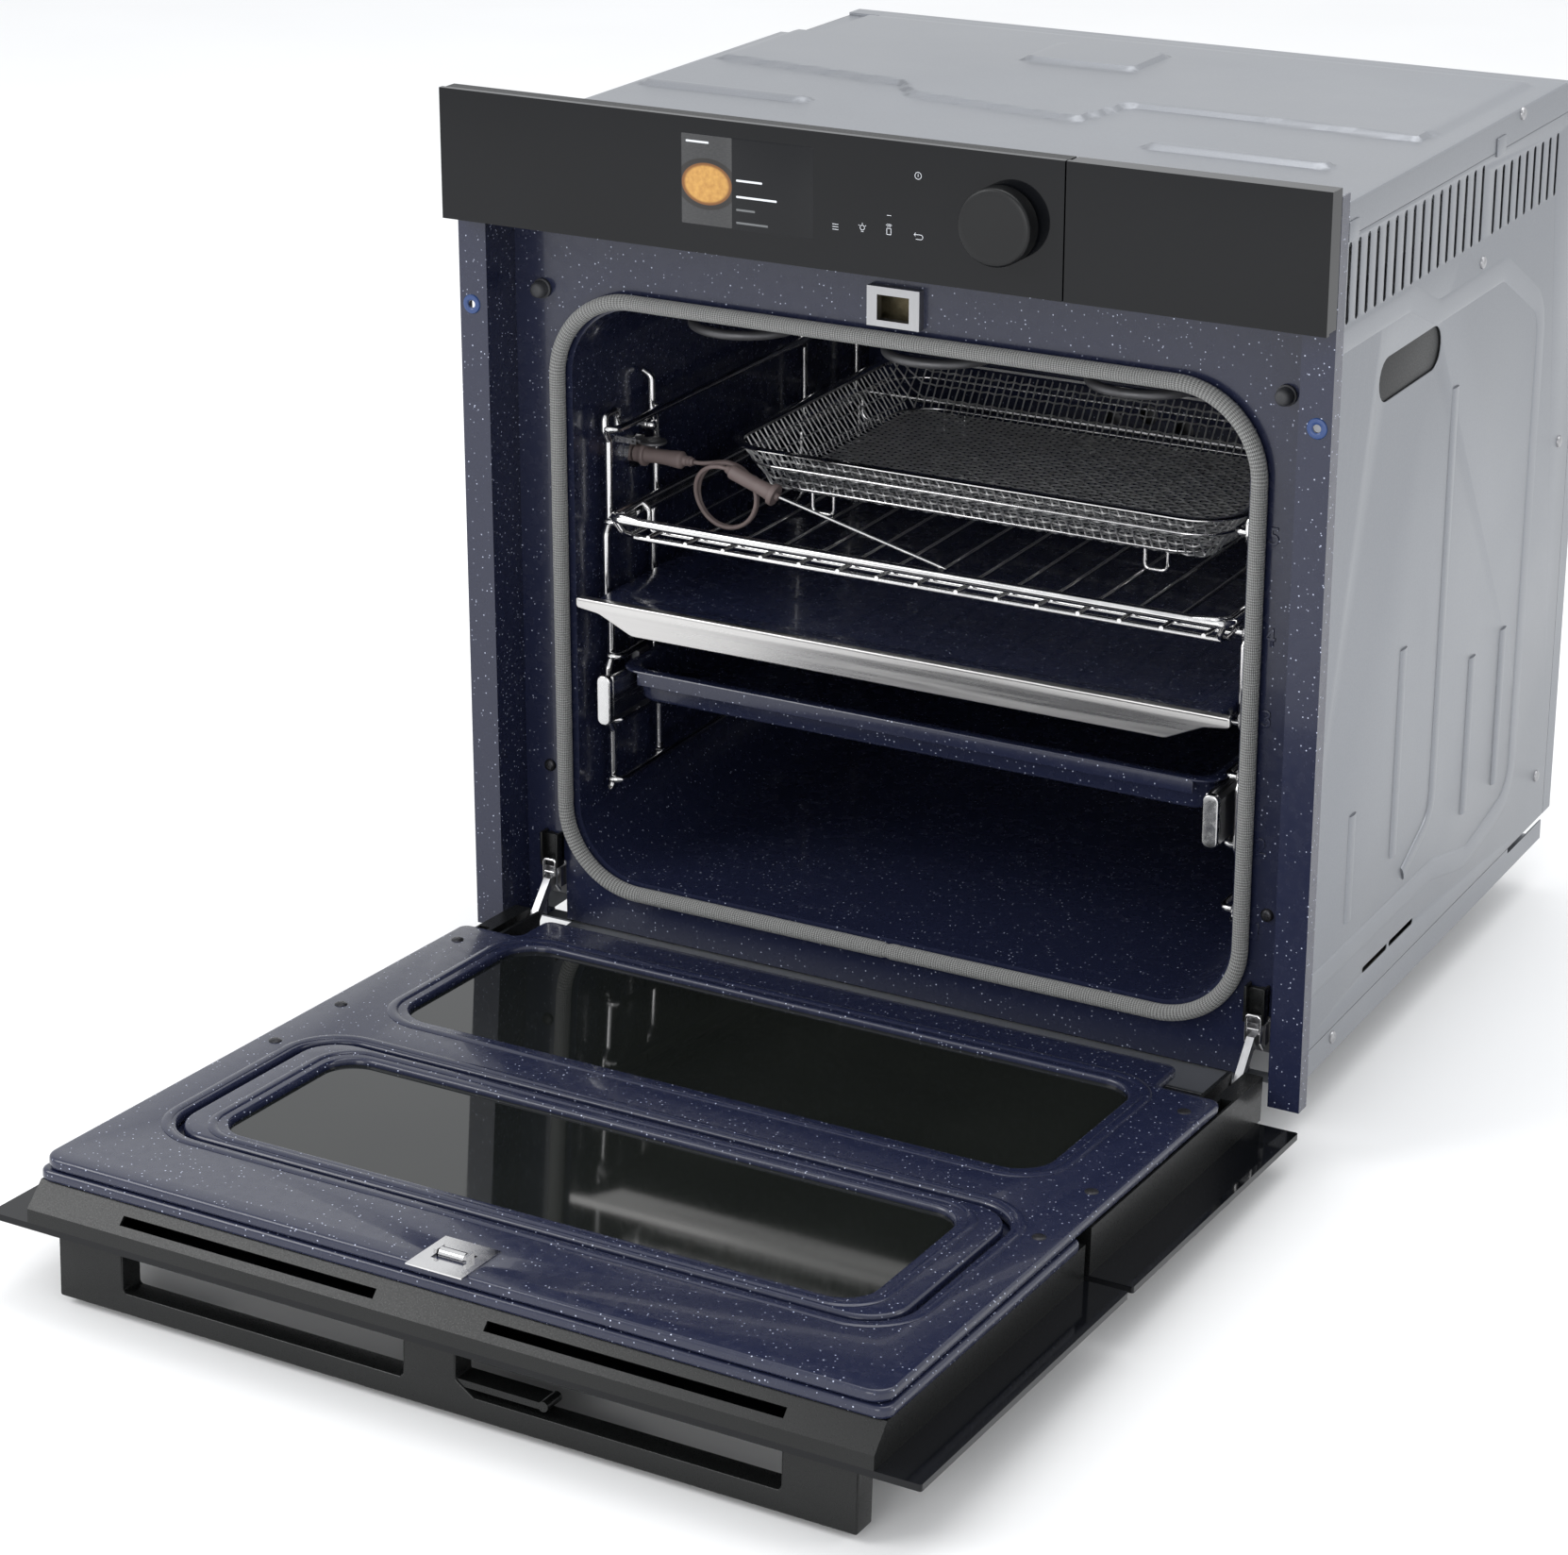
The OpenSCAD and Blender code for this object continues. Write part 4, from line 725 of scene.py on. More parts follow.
def tube(path, radii, sides=16, endless=False, uv=None):
    """Round tube along a path, its frame carried along without twist."""
    path = [Vector(p) for p in path]
    count = len(path)
    side = None
    rings = []
    for i, here in enumerate(path):
        back = path[i - 1] if i or endless else here
        ahead = path[(i + 1) % count] if i + 1 < count or endless else here
        axis = (ahead - back).normalized()
        side = axis.orthogonal() if side is None else side - axis * side.dot(axis)
        side.normalize()
        across = axis.cross(side)
        radius = radii[i] if isinstance(radii, list) else radii
        rings.append(
            [
                here
                + side * (radius * math.cos(2 * math.pi * k / sides))
                + across * (radius * math.sin(2 * math.pi * k / sides))
                for k in range(sides)
            ]
        )
    return loft(rings, not endless, endless, uv)


# ---------------------------------------------------------------- trees that repeat


class Tree:
    """A Geometry Nodes tree in the making."""

    def __init__(self, name, inputs):
        self.tree = bpy.data.node_groups.new(name, "GeometryNodeTree")
        face = self.tree.interface
        face.new_socket("Geometry", in_out="INPUT", socket_type="NodeSocketGeometry")
        self.names = {
            label: face.new_socket(label, in_out="INPUT", socket_type=kind).identifier
            for label, kind in inputs.items()
        }
        face.new_socket("Geometry", in_out="OUTPUT", socket_type="NodeSocketGeometry")
        self.entry = self.tree.nodes.new("NodeGroupInput").outputs

    def node(self, kind, settings=None, inputs=None):
        """A new node, with its settings first and then its sockets."""
        made = self.tree.nodes.new(kind)
        for key, value in (settings or {}).items():
            setattr(made, key, value)
        for key, value in (inputs or {}).items():
            if isinstance(value, bpy.types.NodeSocket):
                self.tree.links.new(value, made.inputs[key])
            else:
                made.inputs[key].default_value = value
        return made

    def attribute(self, name, kind="FLOAT"):
        """A named attribute of the points."""
        return self.node(
            "GeometryNodeInputNamedAttribute", {"data_type": kind}, {"Name": name}
        ).outputs["Attribute"]

    def end(self, geometry):
        """Makes the result real, gives it its finish and ends the tree."""
        real = self.node("GeometryNodeRealizeInstances", {}, {0: geometry})
        dressed = self.node(
            "GeometryNodeSetMaterial", {}, {0: real.outputs[0], "Material": self.entry["Finish"]}
        )
        out = self.tree.nodes.new("NodeGroupOutput")
        self.tree.links.new(dressed.outputs[0], out.inputs[0])
        return self

    def run(self, mesh, values):
        """The plain mesh that the tree makes of this one."""
        holder = bpy.data.objects.new("tree_input", mesh)
        bpy.context.scene.collection.objects.link(holder)
        modifier = holder.modifiers.new("tree", "NODES")
        modifier.node_group = self.tree
        for label, value in values.items():
            modifier[self.names[label]] = value
        graph = bpy.context.evaluated_depsgraph_get()
        made = bpy.data.meshes.new_from_object(holder.evaluated_get(graph))
        holder.modifiers.remove(modifier)
        bpy.data.objects.remove(holder)
        bpy.data.meshes.remove(mesh)
        return made


def wire_tree():
    """Round wire along the edges of a mesh, its corners bent to each point's own radius."""
    t = Tree(
        "wire",
        {"Sides": "NodeSocketInt", "Bend steps": "NodeSocketInt", "Finish": "NodeSocketMaterial"},
    )
    line = t.node("GeometryNodeMeshToCurve", {}, {"Mesh": t.entry["Geometry"]})
    bent = t.node(
        "GeometryNodeFilletCurve",
        {"mode": "POLY"},
        {
            "Curve": line.outputs[0],
            "Count": t.entry["Bend steps"],
            "Radius": t.attribute("bend_radius"),
            "Limit Radius": True,
        },
    )
    ring = t.node(
        "GeometryNodeCurvePrimitiveCircle", {}, {"Resolution": t.entry["Sides"], "Radius": 1.0}
    )
    skin = t.node(
        "GeometryNodeCurveToMesh",
        {},
        {
            "Curve": bent.outputs[0],
            "Profile Curve": ring.outputs[0],
            "Scale": t.attribute("wire_radius"),
            "Fill Caps": True,
        },
    )
    return t.end(skin.outputs[0])


def repeat_tree():
    """One shape set on every point of a mesh, turned to face that point's own way."""
    t = Tree("repeat", {"Shape": "NodeSocketObject", "Finish": "NodeSocketMaterial"})
    shape = t.node("GeometryNodeObjectInfo", {}, {"Object": t.entry["Shape"]})
    turn = t.node(
        "FunctionNodeAlignRotationToVector",
        {"axis": "Z"},
        {"Vector": t.attribute("facing", "FLOAT_VECTOR")},
    )
    copies = t.node(
        "GeometryNodeInstanceOnPoints",
        {},
        {
            "Points": t.entry["Geometry"],
            "Instance": shape.outputs["Geometry"],
            "Rotation": turn.outputs[0],
        },
    )
    return t.end(copies.outputs[0])


TREES = {}


def tree(name, maker):
    """The tree of that name, made once."""
    if name not in TREES:
        TREES[name] = maker()
    return TREES[name]


def wires(lines, finish_name, sides=None, squash=None):
    """Wires along lines of (points, diameter, bend radius, endless), as one mesh."""
    points, edges, radius, bend = [], [], [], []
    for line in lines:
        path, thick, turn = line[:3]
        endless = len(line) > 3 and line[3]
        first = len(points)
        for i, p in enumerate(path):
            points.append(Vector(p) * METRE)
            radius.append(thick / 2 * METRE)
            free = not endless and i in (0, len(path) - 1)
            bend.append(0.0 if free else turn * METRE)
        edges += [(first + i, first + i + 1) for i in range(len(path) - 1)]
        if endless:
            edges.append((len(points) - 1, first))
    mesh = bpy.data.meshes.new("lines")
    mesh.from_pydata(points, edges, [])
    for name, values in (("wire_radius", radius), ("bend_radius", bend)):
        mesh.attributes.new(name, "FLOAT", "POINT").data.foreach_set("value", values)
    made = tree("wire", wire_tree).run(
        mesh,
        {
            "Sides": sides or sizes().wire_sides,
            "Bend steps": sizes().bend_steps,
            "Finish": finish(finish_name),
        },
    )
    bm = bmesh.new()
    bm.from_mesh(made)
    bpy.data.meshes.remove(made)
    bmesh.ops.scale(bm, vec=(1 / METRE,) * 3, verts=bm.verts)
    if squash:
        axis, level, share = squash
        for v in bm.verts:
            v.co[axis] = level + (v.co[axis] - level) * share
    bmesh.ops.recalc_face_normals(bm, faces=bm.faces)
    return bm


def repeated(shape, places, finish_name):
    """A shape, drawn about its own origin and facing +Z, at each (point, direction)."""
    small = bpy.data.meshes.new("shape")
    bmesh.ops.scale(shape, vec=(METRE,) * 3, verts=shape.verts)
    shape.to_mesh(small)
    shape.free()
    model = bpy.data.objects.new("shape", small)
    bpy.context.scene.collection.objects.link(model)
    mesh = bpy.data.meshes.new("places")
    mesh.from_pydata([Vector(p) * METRE for p, _ in places], [], [])
    facing = mesh.attributes.new("facing", "FLOAT_VECTOR", "POINT")
    facing.data.foreach_set("vector", [c for _, way in places for c in way])
    made = tree("repeat", repeat_tree).run(
        mesh, {"Shape": model, "Finish": finish(finish_name)}
    )
    bpy.data.objects.remove(model)
    bpy.data.meshes.remove(small)
    bm = bmesh.new()
    bm.from_mesh(made)
    bpy.data.meshes.remove(made)
    bmesh.ops.scale(bm, vec=(1 / METRE,) * 3, verts=bm.verts)
    return bm


# ---------------------------------------------------------------- pieces


def piece(name, bm, finish_name, body=BODY, stands_for=(), shut=False, sharp=38):
    """Makes a mesh drawn in millimetres into a piece on a body; shut means door closed."""
    if shut:
        bmesh.ops.transform(bm, matrix=SHUT_TO_OPEN, verts=bm.verts)
    bmesh.ops.scale(bm, vec=(METRE,) * 3, verts=bm.verts)
    mesh = bpy.data.meshes.new(name)
    bm.to_mesh(mesh)
    bm.free()
    mesh.materials.clear()
    mesh.materials.append(finish(finish_name))
    mesh.polygons.foreach_set("material_index", [0] * len(mesh.polygons))
    mesh.polygons.foreach_set("use_smooth", [True] * len(mesh.polygons))
    mesh.set_sharp_from_angle(angle=math.radians(sharp))
    made = bpy.data.objects.new(name, mesh)
    bpy.context.scene.collection.objects.link(made)
    if body:
        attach(made, body)
    if stands_for:
        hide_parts(*stands_for)
    return made


def dress(finish_name, *nodes):
    """Gives CAD nodes their finish."""
    for name in nodes:
        node = frame["nodes"][name]
        if not node.material_slots:
            node.data.materials.append(finish(finish_name))
        for place in node.material_slots:
            place.material = finish(finish_name)


def screw(head, height, drive):
    """Pan-head screw with a cross-shaped drive, facing +Z."""
    bm = turned(
        (0, 0, -0.4),
        (0, 0, 1),
        [(0, head / 2), (0.4, head / 2), (0.4 + height * 0.55, head * 0.46),
         (0.4 + height * 0.9, head * 0.34), (0.4 + height, head * 0.2)],
        20,
    )
    cross = joined(
        block(-drive / 2, drive / 2, -0.45, 0.45, height - 0.5, height + 0.12, 0.1),
        block(-0.45, 0.45, -drive / 2, drive / 2, height - 0.5, height + 0.1, 0.1),
    )
    return joined(bm, cross)


class StepOperator(bpy.types.Operator):
    """Base of the building steps"""

    bl_options = {"REGISTER", "UNDO"}

    def execute(self, context):
        self.build()
        return {"FINISHED"}


class OVEN_OT_stage(StepOperator):
    """Adds the camera, the lights and the floor"""

    bl_idname = "oven.stage"
    bl_label = "Stage"

    def build(self):
        place = Vector((1.06065, -2.02177, 1.07094))
        yaw, pitch = 0.5062, 0.338
        look = Vector(
            (-math.sin(yaw) * math.cos(pitch), math.cos(yaw) * math.cos(pitch), -math.sin(pitch))
        )
        data = bpy.data.cameras.new("camera")
        data.sensor_width = 36
        data.lens = 89.71
        data.shift_y = -0.1
        camera = bpy.data.objects.new("camera", data)
        camera.location = place
        camera.rotation_euler = look.to_track_quat("-Z", "Y").to_euler()
        bpy.context.scene.collection.objects.link(camera)
        bpy.context.scene.camera = camera

        world = bpy.data.worlds.new("studio")
        world.use_nodes = True
        back = world.node_tree.nodes["Background"]
        back.inputs["Color"].default_value = (0.965, 0.98, 1.0, 1)
        back.inputs["Strength"].default_value = 1.0
        bpy.context.scene.world = world
        bpy.context.scene.view_settings.view_transform = "Standard"

        for name, spot, width, power in (
            ("softbox_left", (-2.1, -1.9, 2.0), 1.6, 46),
            ("softbox_top", (0.2, 0.9, 2.8), 2.2, 34),
            ("softbox_right", (2.7, 0.9, 1.5), 1.0, 12),
            ("softbox_front", (0.25, -2.7, 0.75), 1.1, 16),
        ):
            self.lamp(name, spot, width, power)
        self.floor()

    def lamp(self, name, place, width, power):
        """Large soft area light aimed at the oven."""
        data = bpy.data.lights.new(name, "AREA")
        data.size = width
        data.energy = power
        lamp = bpy.data.objects.new(name, data)
        lamp.location = place
        aim = Vector((0, -0.05, 0.25)) - Vector(place)
        lamp.rotation_euler = aim.to_track_quat("-Z", "Y").to_euler()
        bpy.context.scene.collection.objects.link(lamp)

    def floor(self):
        """Wide pale floor under the lowest point of the oven."""
        paint = Paint("floor", specular_ior_level=0.2)
        paint.give("Base Color", paint.mix(paint.noise(3, 2), (0.86, 0.86, 0.86), (0.9, 0.9, 0.9)))
        paint.give("Roughness", 0.9)
        reach, low = 9.0, CAD_BOX[0].z - 0.004
        mesh = bpy.data.meshes.new("floor")
        corners = [
            (x * reach, y * reach, low) for x, y in ((-1, -1), (1, -1), (1, 1), (-1, 1))
        ]
        mesh.from_pydata(corners, [], [(0, 1, 2, 3)])
        mesh.materials.append(paint.material)
        floor = bpy.data.objects.new("floor", mesh)
        bpy.context.scene.collection.objects.link(floor)


PLUG_END = (-185.9, 105.0, 315.5)
GRIP_A = Vector((-152.5, 94.0, 317.7))
CORD_END = (-153.3, 94.0, 317.9)
GRIP_B = Vector((-121.0, 94.0, 306.5))
NEEDLE_TIP = Vector((6.0, 94.0, 275.5))
CORD_D = 3.0


def cord_route():
    """Points of the probe's cord: out of the plug, twice round its ring and into the grip."""
    turns, steps, ring, back, spread = 2, 16, 22.0, 105.0, 3.5
    last = turns * steps
    points = [PLUG_END, (-181.0, 105.0, 315.5), (-174.0, 105.0, 316.6), (-166.0, 105.0, 318.4)]
    for i in range(last + 1):
        a = math.radians(90 - 360 * i / steps)
        f = max(0.0, (i - last + 6) / 6)
        y = back - spread * i / last - (back - spread - GRIP_A.y) * f * f * (3 - 2 * f)
        points.append((-160 + ring * math.cos(a), y, 297 + ring * math.sin(a)))
    return [*points, CORD_END]


def smooth_path(points, steps):
    """Smooth curve through points, straight at its two ends."""
    ends = [points[0], *points, points[-1]]
    out = []
    for a, b, c, d in zip(ends, ends[1:], ends[2:], ends[3:]):
        a, b, c, d = (Vector(p) for p in (a, b, c, d))
        for k in range(steps):
            t = k / steps
            out.append(
                0.5 * (2 * b + (c - a) * t + (2 * a - 5 * b + 4 * c - d) * t * t
                       + (3 * b - a - 3 * c + d) * t**3)
            )
    return [*out, Vector(points[-1])]


class OVEN_OT_probe(StepOperator):
    """Makes the food probe: cord, plug, cap, grip and needle"""

    bl_idname = "oven.probe"
    bl_label = "Food probe"

    def build(self):
        along = (GRIP_B - GRIP_A).normalized()
        grip = turned(
            GRIP_A - along * 3, GRIP_B + along * 4,
            [(0, 2.0), (0.6, 2.7), (3, 3.2), (4, 4.6), (5, 5.0), (22, 5.0), (24, 4.7), (25, 4.9),
             (35.2, 5.4), (35.6, 7.1), (36.2, 7.5), (38.8, 7.5), (39.4, 7.1), (39.6, 3.0),
             (41.5, 2.4), (42, 1.6)],
        )
        handle = piece(
            "probe_grip", grip, "silicone", "shelf", ["probe_handle"]
        )
        reach = (NEEDLE_TIP - GRIP_B).length
        needle = turned(
            GRIP_B + along, NEEDLE_TIP,
            [(0, 1.2), (reach - 6, 1.2), (reach - 1.5, 0.35), (reach - 1, 0.1)], 16,
        )
        piece("probe_needle", needle, "needle_steel", "shelf", [])

        route = smooth_path(cord_route(), 3)
        length = sum((b - a).length for a, b in zip(route, route[1:]))
        skin = tube(route, CORD_D / 2, 10, uv=(1.2, 1))
        cord = piece("probe_lead", skin, "silicone", None, [])
        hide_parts("probe_cord")
        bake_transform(cord)
        [p * METRE for p in route]

        left = -CAVITY_HALF + 4.2
        plug = turned(
            (left, 105, 315.5), (0, 105, 315.5),
            [(0, 5.2), (0.6, 6.0), (5, 6.0), (5.6, 7.6), (6.2, 8.0), (8, 8.0), (8.6, 7.6),
             (9, 5.6), (16, 4.9), (26, 5.2), (34, 6.0), (35.6, 5.9), (36.4, 5.2), (37.4, 3.6),
             (38.2, 3.5), (39.6, 3.5), (40, 3.0), (40.8, 3.0), (41.2, 3.4), (42.2, 3.4),
             (42.6, 2.8), (44.4, 2.5), (44.6, 1.7)],
        )
        piece("probe_plug_body", plug, "silicone", BODY, ["probe_plug"])
        cap = turned(
            (-CAVITY_HALF + 18, 105, 323.9), (-CAVITY_HALF + 18, 105, 330),
            [(0, 8.0), (0.4, 8.9), (1.0, 9.0), (1.8, 8.8), (2.2, 8.2), (2.25, 5.2), (2.8, 4.8)],
        )
        lug = block(-CAVITY_HALF + 6, -CAVITY_HALF + 12, 101, 109, 324, 326, 0.4)
        pin = turned(
            (-CAVITY_HALF + 6, 98.8, 325), (-CAVITY_HALF + 6, 111.2, 325),
            [(0, 0.5), (0.3, 0.8), (2.1, 0.8), (2.2, 1.8), (10.2, 1.8), (10.3, 0.8), (12.1, 0.8),
             (12.4, 0.5)], 16,
        )
        piece(
            "probe_socket_cap", joined(cap, lug, pin), "heater_steel", "probe_cap", ["probe_cap"],
        )
        dress("chrome", "probe_socket")


class OVEN_OT_seal(StepOperator):
    """Makes the braided seal round the cavity"""

    bl_idname = "oven.seal"
    bl_label = "Door seal"

    def build(self):
        r = (SEAL.y1 - SEAL.y0) / 2
        line = rectangle(SEAL.x0 + r, SEAL.x1 - r, SEAL.z0 + r, SEAL.z1 - r, 55.0, 20)
        path = []
        for (u0, v0), (u1, v1) in zip(line, [*line[1:], line[0]]):
            span = math.hypot(u1 - u0, v1 - v0)
            steps = max(1, round(span / 3.2))
            path += [
                (u0 + (u1 - u0) * k / steps, (SEAL.y0 + SEAL.y1) / 2, v0 + (v1 - v0) * k / steps)
                for k in range(steps)
            ]
        low = (SEAL.z0 + SEAL.z1) / 2
        radii = [
            r * (0.84 if abs(x) < 1.7 and z < low
                 else 1 + 0.012 * noise.noise(Vector((x, z, 0)) / 19))
            for x, _, z in path
        ]
        whole = sum(math.dist(a, b) for a, b in zip(path, [*path[1:], path[0]]))
        stitches = round(whole / (sizes().braid_pitch / METRE))
        skin = tube(path, radii, 18, True, (stitches / len(path), 14.0))
        piece("seal_braid", skin, "braid", BODY, ["door_seal"], sharp=70)


def rack_lines():
    """Wires of the right side rack."""
    post_x, run_x = RACK.x1 - 2.5, RACK.x0 + 2.5
    if post_x > CAVITY_HALF - 8:
        post_x = CAVITY_HALF - 9.0
    levels = [100.0, 143.0, 188.0, 223.7, 281.5, 345.0]
    lines = []
    for i, y in enumerate((58.0, 118.0, 325.0, 413.0)):
        top = 354.0 if i == 0 else 369.0
        lean = 4.5 if i < 3 else -4.5
        path = [(post_x, y, 94.0)]
        for k, z in enumerate(levels):
            near, far = (y, y + lean) if k % 2 == 0 else (y + lean, y)
            path += [(post_x, near, z - 9), (post_x, far, z - 2)]
        end = path[-1][1]
        path.append((post_x, end, top - 3) if i else (post_x, end, top))
        if i == 0:
            path += [(post_x, end + 16, top), (post_x, end + 16, top - 15)]
        else:
            path.append((post_x + 6, end, top))
        lines.append((path, 5.0, 4.0))
    for z in levels:
        path = [(post_x - 1, 58.0, z), (run_x, 58.0, z), (run_x, 413.0, z), (post_x - 1, 413.0, z)]
        lines.append((path, 5.0, 5.0))
        for y in (118.0, 325.0):
            lines.append(([(post_x, y + 2, z), (run_x, y + 2, z)], 4.0, 0.0))
    return lines


class OVEN_OT_racks(StepOperator):
    """Makes the chrome racks at the sides of the cavity"""

    bl_idname = "oven.racks"
    bl_label = "Side racks"

    def build(self):
        for side, name in ((1, "right"), (-1, "left")):
            lines = [
                ([(side * x, y, z) for x, y, z in line[0]], *line[1:]) for line in rack_lines()
            ]
            pins = [
                turned(
                    (side * (CAVITY_HALF - 12), y, 332), (side * CAVITY_HALF, y, 332),
                    [(0, 1.2), (0.5, 2.6), (1.4, 3.4), (6, 3.4), (6.2, 4.6), (8.4, 4.6),
                     (8.6, 3.4), (11.8, 3.4)],
                )
                for y in (118.0, 413.0)
            ]
            piece(
                "rack_" + name, joined(wires(lines, "chrome"), *pins), "chrome", BODY,
                ["side_rack_" + name], sharp=50,
            )


class OVEN_OT_shelf(StepOperator):
    """Makes the wire shelf"""

    bl_idname = "oven.shelf"
    bl_label = "Wire shelf"

    def build(self):
        half, y0, y1 = SHELF.x1 - 2.9, SHELF.y0 + 3, SHELF.y1 - 3
        z = SHELF.z1 - 3
        low, cradle = SHELF.z0 + 2, CAVITY_HALF - 24
        frame_line = [(-half, y0, z), (half, y0, z), (half, y1, z), (-half, y1, z)]
        lines = [(frame_line, 6.0, 9.0, True)]
        for y in (88.0, y1 - 8):
            lines.append(
                ([(-half, y, z), (-cradle, y, z), (-cradle, y, low), (cradle, y, low),
                  (cradle, y, z), (half, y, z)], 4.0, 6.0)
            )
        lines.append(([(-cradle + 3, y0 + 15, low + 3), (cradle - 3, y0 + 15, low + 3)], 4.0, 0))
        count = 15
        for i in range(count):
            x = -cradle + 14 + i * (2 * cradle - 28) / (count - 1)
            lines.append(
                ([(x, y0 + 13, low + 4.6), (x, y0 + 60, low + 3.2), (x, y1 - 8, low + 3.2)],
                 3.0, 6.0)
            )
        for side in (-1, 1):
            lines.append(
                ([(side * cradle, 88.0, low + 4), (side * cradle, y0 + 15, low + 4),
                  (side * cradle, y0 + 4, low + 9), (side * (half - 3), y0 + 1, z - 1)], 4.0, 6.0)
            )
            lines.append(
                ([(side * (half - 2), y0 + 12, z), (side * (half - 5), y0 - 0.5, z + 3),
                  (side * (half - 22), y0 - 0.5, z + 1)], 4.0, 7.0)
            )
        piece(
            "shelf_wires", wires(lines, "chrome"), "chrome", "shelf", ["wire_shelf"],
            sharp=50,
        )


class OVEN_OT_basket(StepOperator):
    """Weaves the wire basket"""

    bl_idname = "oven.basket"
    bl_label = "Mesh basket"

    def build(self):
        rim_z = BASKET.z1
        floor_z = rim_z - 32.5
        x_half, y0, y1, corner, taper = BASKET.x1, BASKET.y0, BASKET.y1, 34.0, 22.0
        y_mid, y_half = (y0 + y1) / 2, (y1 - y0) / 2

        def inset(x, y):
            """Distance from the rim's outline, inwards."""
            u, v = abs(x) - (x_half - corner), abs(y - y_mid) - (y_half - corner)
            outside = math.hypot(max(u, 0), max(v, 0))
            return corner - outside - min(max(u, v), 0)

        def height(x, y):
            """Height of the woven surface."""
            share = min(1.0, max(0.0, (inset(x, y) - 5) / taper))
            fall = share if share < 0.8 else 0.8 + 0.2 * (1 - ((1 - share) / 0.2) ** 2)
            return rim_z - 1.5 - (rim_z - 1.5 - floor_z) * fall

        pitch = sizes().basket_pitch / METRE
        thick = sizes().basket_wire / METRE
        nx, ny = int(x_half / pitch), int(y_half / pitch)
        lines = []
        for i in range(-nx, nx + 1):
            run = []
            for j in range(-2 * ny, 2 * ny + 1):
                x, y = i * pitch, y_mid + j * pitch / 2
                if inset(x, y) > 5:
                    wave = thick * 0.42 * (1 if (i + j // 2) % 2 else -1) * (1 - j % 2)
                    run.append((x, y, height(x, y) + wave))
            if len(run) > 3:
                lines.append((run, thick, 0))
        for j in range(-ny, ny + 1):
            run = []
            for i in range(-2 * nx, 2 * nx + 1):
                x, y = i * pitch / 2, y_mid + j * pitch
                if inset(x, y) > 5:
                    wave = thick * 0.42 * (-1 if (j + i // 2) % 2 else 1) * (1 - i % 2)
                    run.append((x, y, height(x, y) + wave))
            if len(run) > 3:
                lines.append((run, thick, 0))
        piece(
            "basket_weave", wires(lines, "woven_wire", 4), "woven_wire", "basket", ["mesh_basket"],
            sharp=80,
        )
        rings = []
        for grow, z in ((0, -0.9), (0, -0.2), (-0.6, 0), (-6.6, 0), (-7.2, -0.3), (-7.2, -2.2),
                        (-6.5, -2.6), (-6.0, -2.2), (-6.0, -1.2), (-0.6, -1.2)):
            rings.append(
                [(x, y, rim_z + z) for x, y in rectangle(
                    -x_half - grow, x_half + grow, y0 - grow, y1 + grow, corner + grow, 10)]
            )
        rim = loft(rings, False, True)
        legs = []
        for x in (-121.0, 121.0):
            for y in (y0 + 34, y1 - 34):
                legs.append(
                    ([(x - 8, y, floor_z + 3), (x - 8, y, BASKET.z0 + 1.5),
                      (x + 8, y, BASKET.z0 + 1.5), (x + 8, y, floor_z + 3)], 3.0, 4.0)
                )
        for level, grow in ((rim_z - 13, -9.5), (floor_z + 2, -24.0)):
            loop = rectangle(-x_half - grow, x_half + grow, y0 - grow, y1 + grow, 30.0, 8)
            legs.append(([(x, y, level) for x, y in loop], 2.0, 0, True))
        piece(
            "basket_frame", joined(rim, wires(legs, "chrome")), "chrome", "basket", [],
        )


class OVEN_OT_divider(StepOperator):
    """Makes the divider with its brushed front bar"""

    bl_idname = "oven.divider"
    bl_label = "Divider"

    def build(self):
        half, low, top = BAR.x1, BAR.z0, BAR.z1
        outline = rounded(
            [(-half, top, 1.2), (-half, top - 6.5, 2.5), (-half + 17, top - 8.5, 14),
             (-half + 42, low, 12), (half - 42, low, 12), (half - 17, top - 8.5, 14),
             (half, top - 6.5, 2.5), (half, top, 1.2)]
        )
        bar = plate("xz", outline, [], BAR.y0, BAR.y1, 0.7)
        lip = block(-half + 1, half - 1, BAR.y0 - 0.2, BAR.y0 + 6, top - 1.8, top + 0.2, 0.7)
        piece(
            "divider_front", joined(bar, lip), "divider_steel", "divider", ["divider_bar"],
        )
        x, y0, y1, z0, z1 = PLATE.x1, BAR.y1 + 0.2, PLATE.y1, PLATE.z1 - 8.5, PLATE.z1
        rings = []
        for grow, z in ((-4, z0), (-1.2, z0 + 0.8), (0, z0 + 3), (0, z1 - 3), (-1, z1 - 0.6),
                        (-3, z1), (-13, z1), (-17, z1 - 1.2), (-24, z1 - 3.4), (-30, z1 - 3.9)):
            rings.append(
                [(u, v, z) for u, v in rectangle(
                    -x - grow, x + grow, y0 - grow, y1 + grow, max(4.0, 14 + grow * 0.3), 6)]
            )
        slab = loft(rings)
        rail = block(-x + 31, x - 31, y0, y0 + 2, low + 1, z0 + 1, 0.5)
        piece(
            "divider_tray", joined(slab, rail), "enamel", "divider", ["divider_plate"],
        )


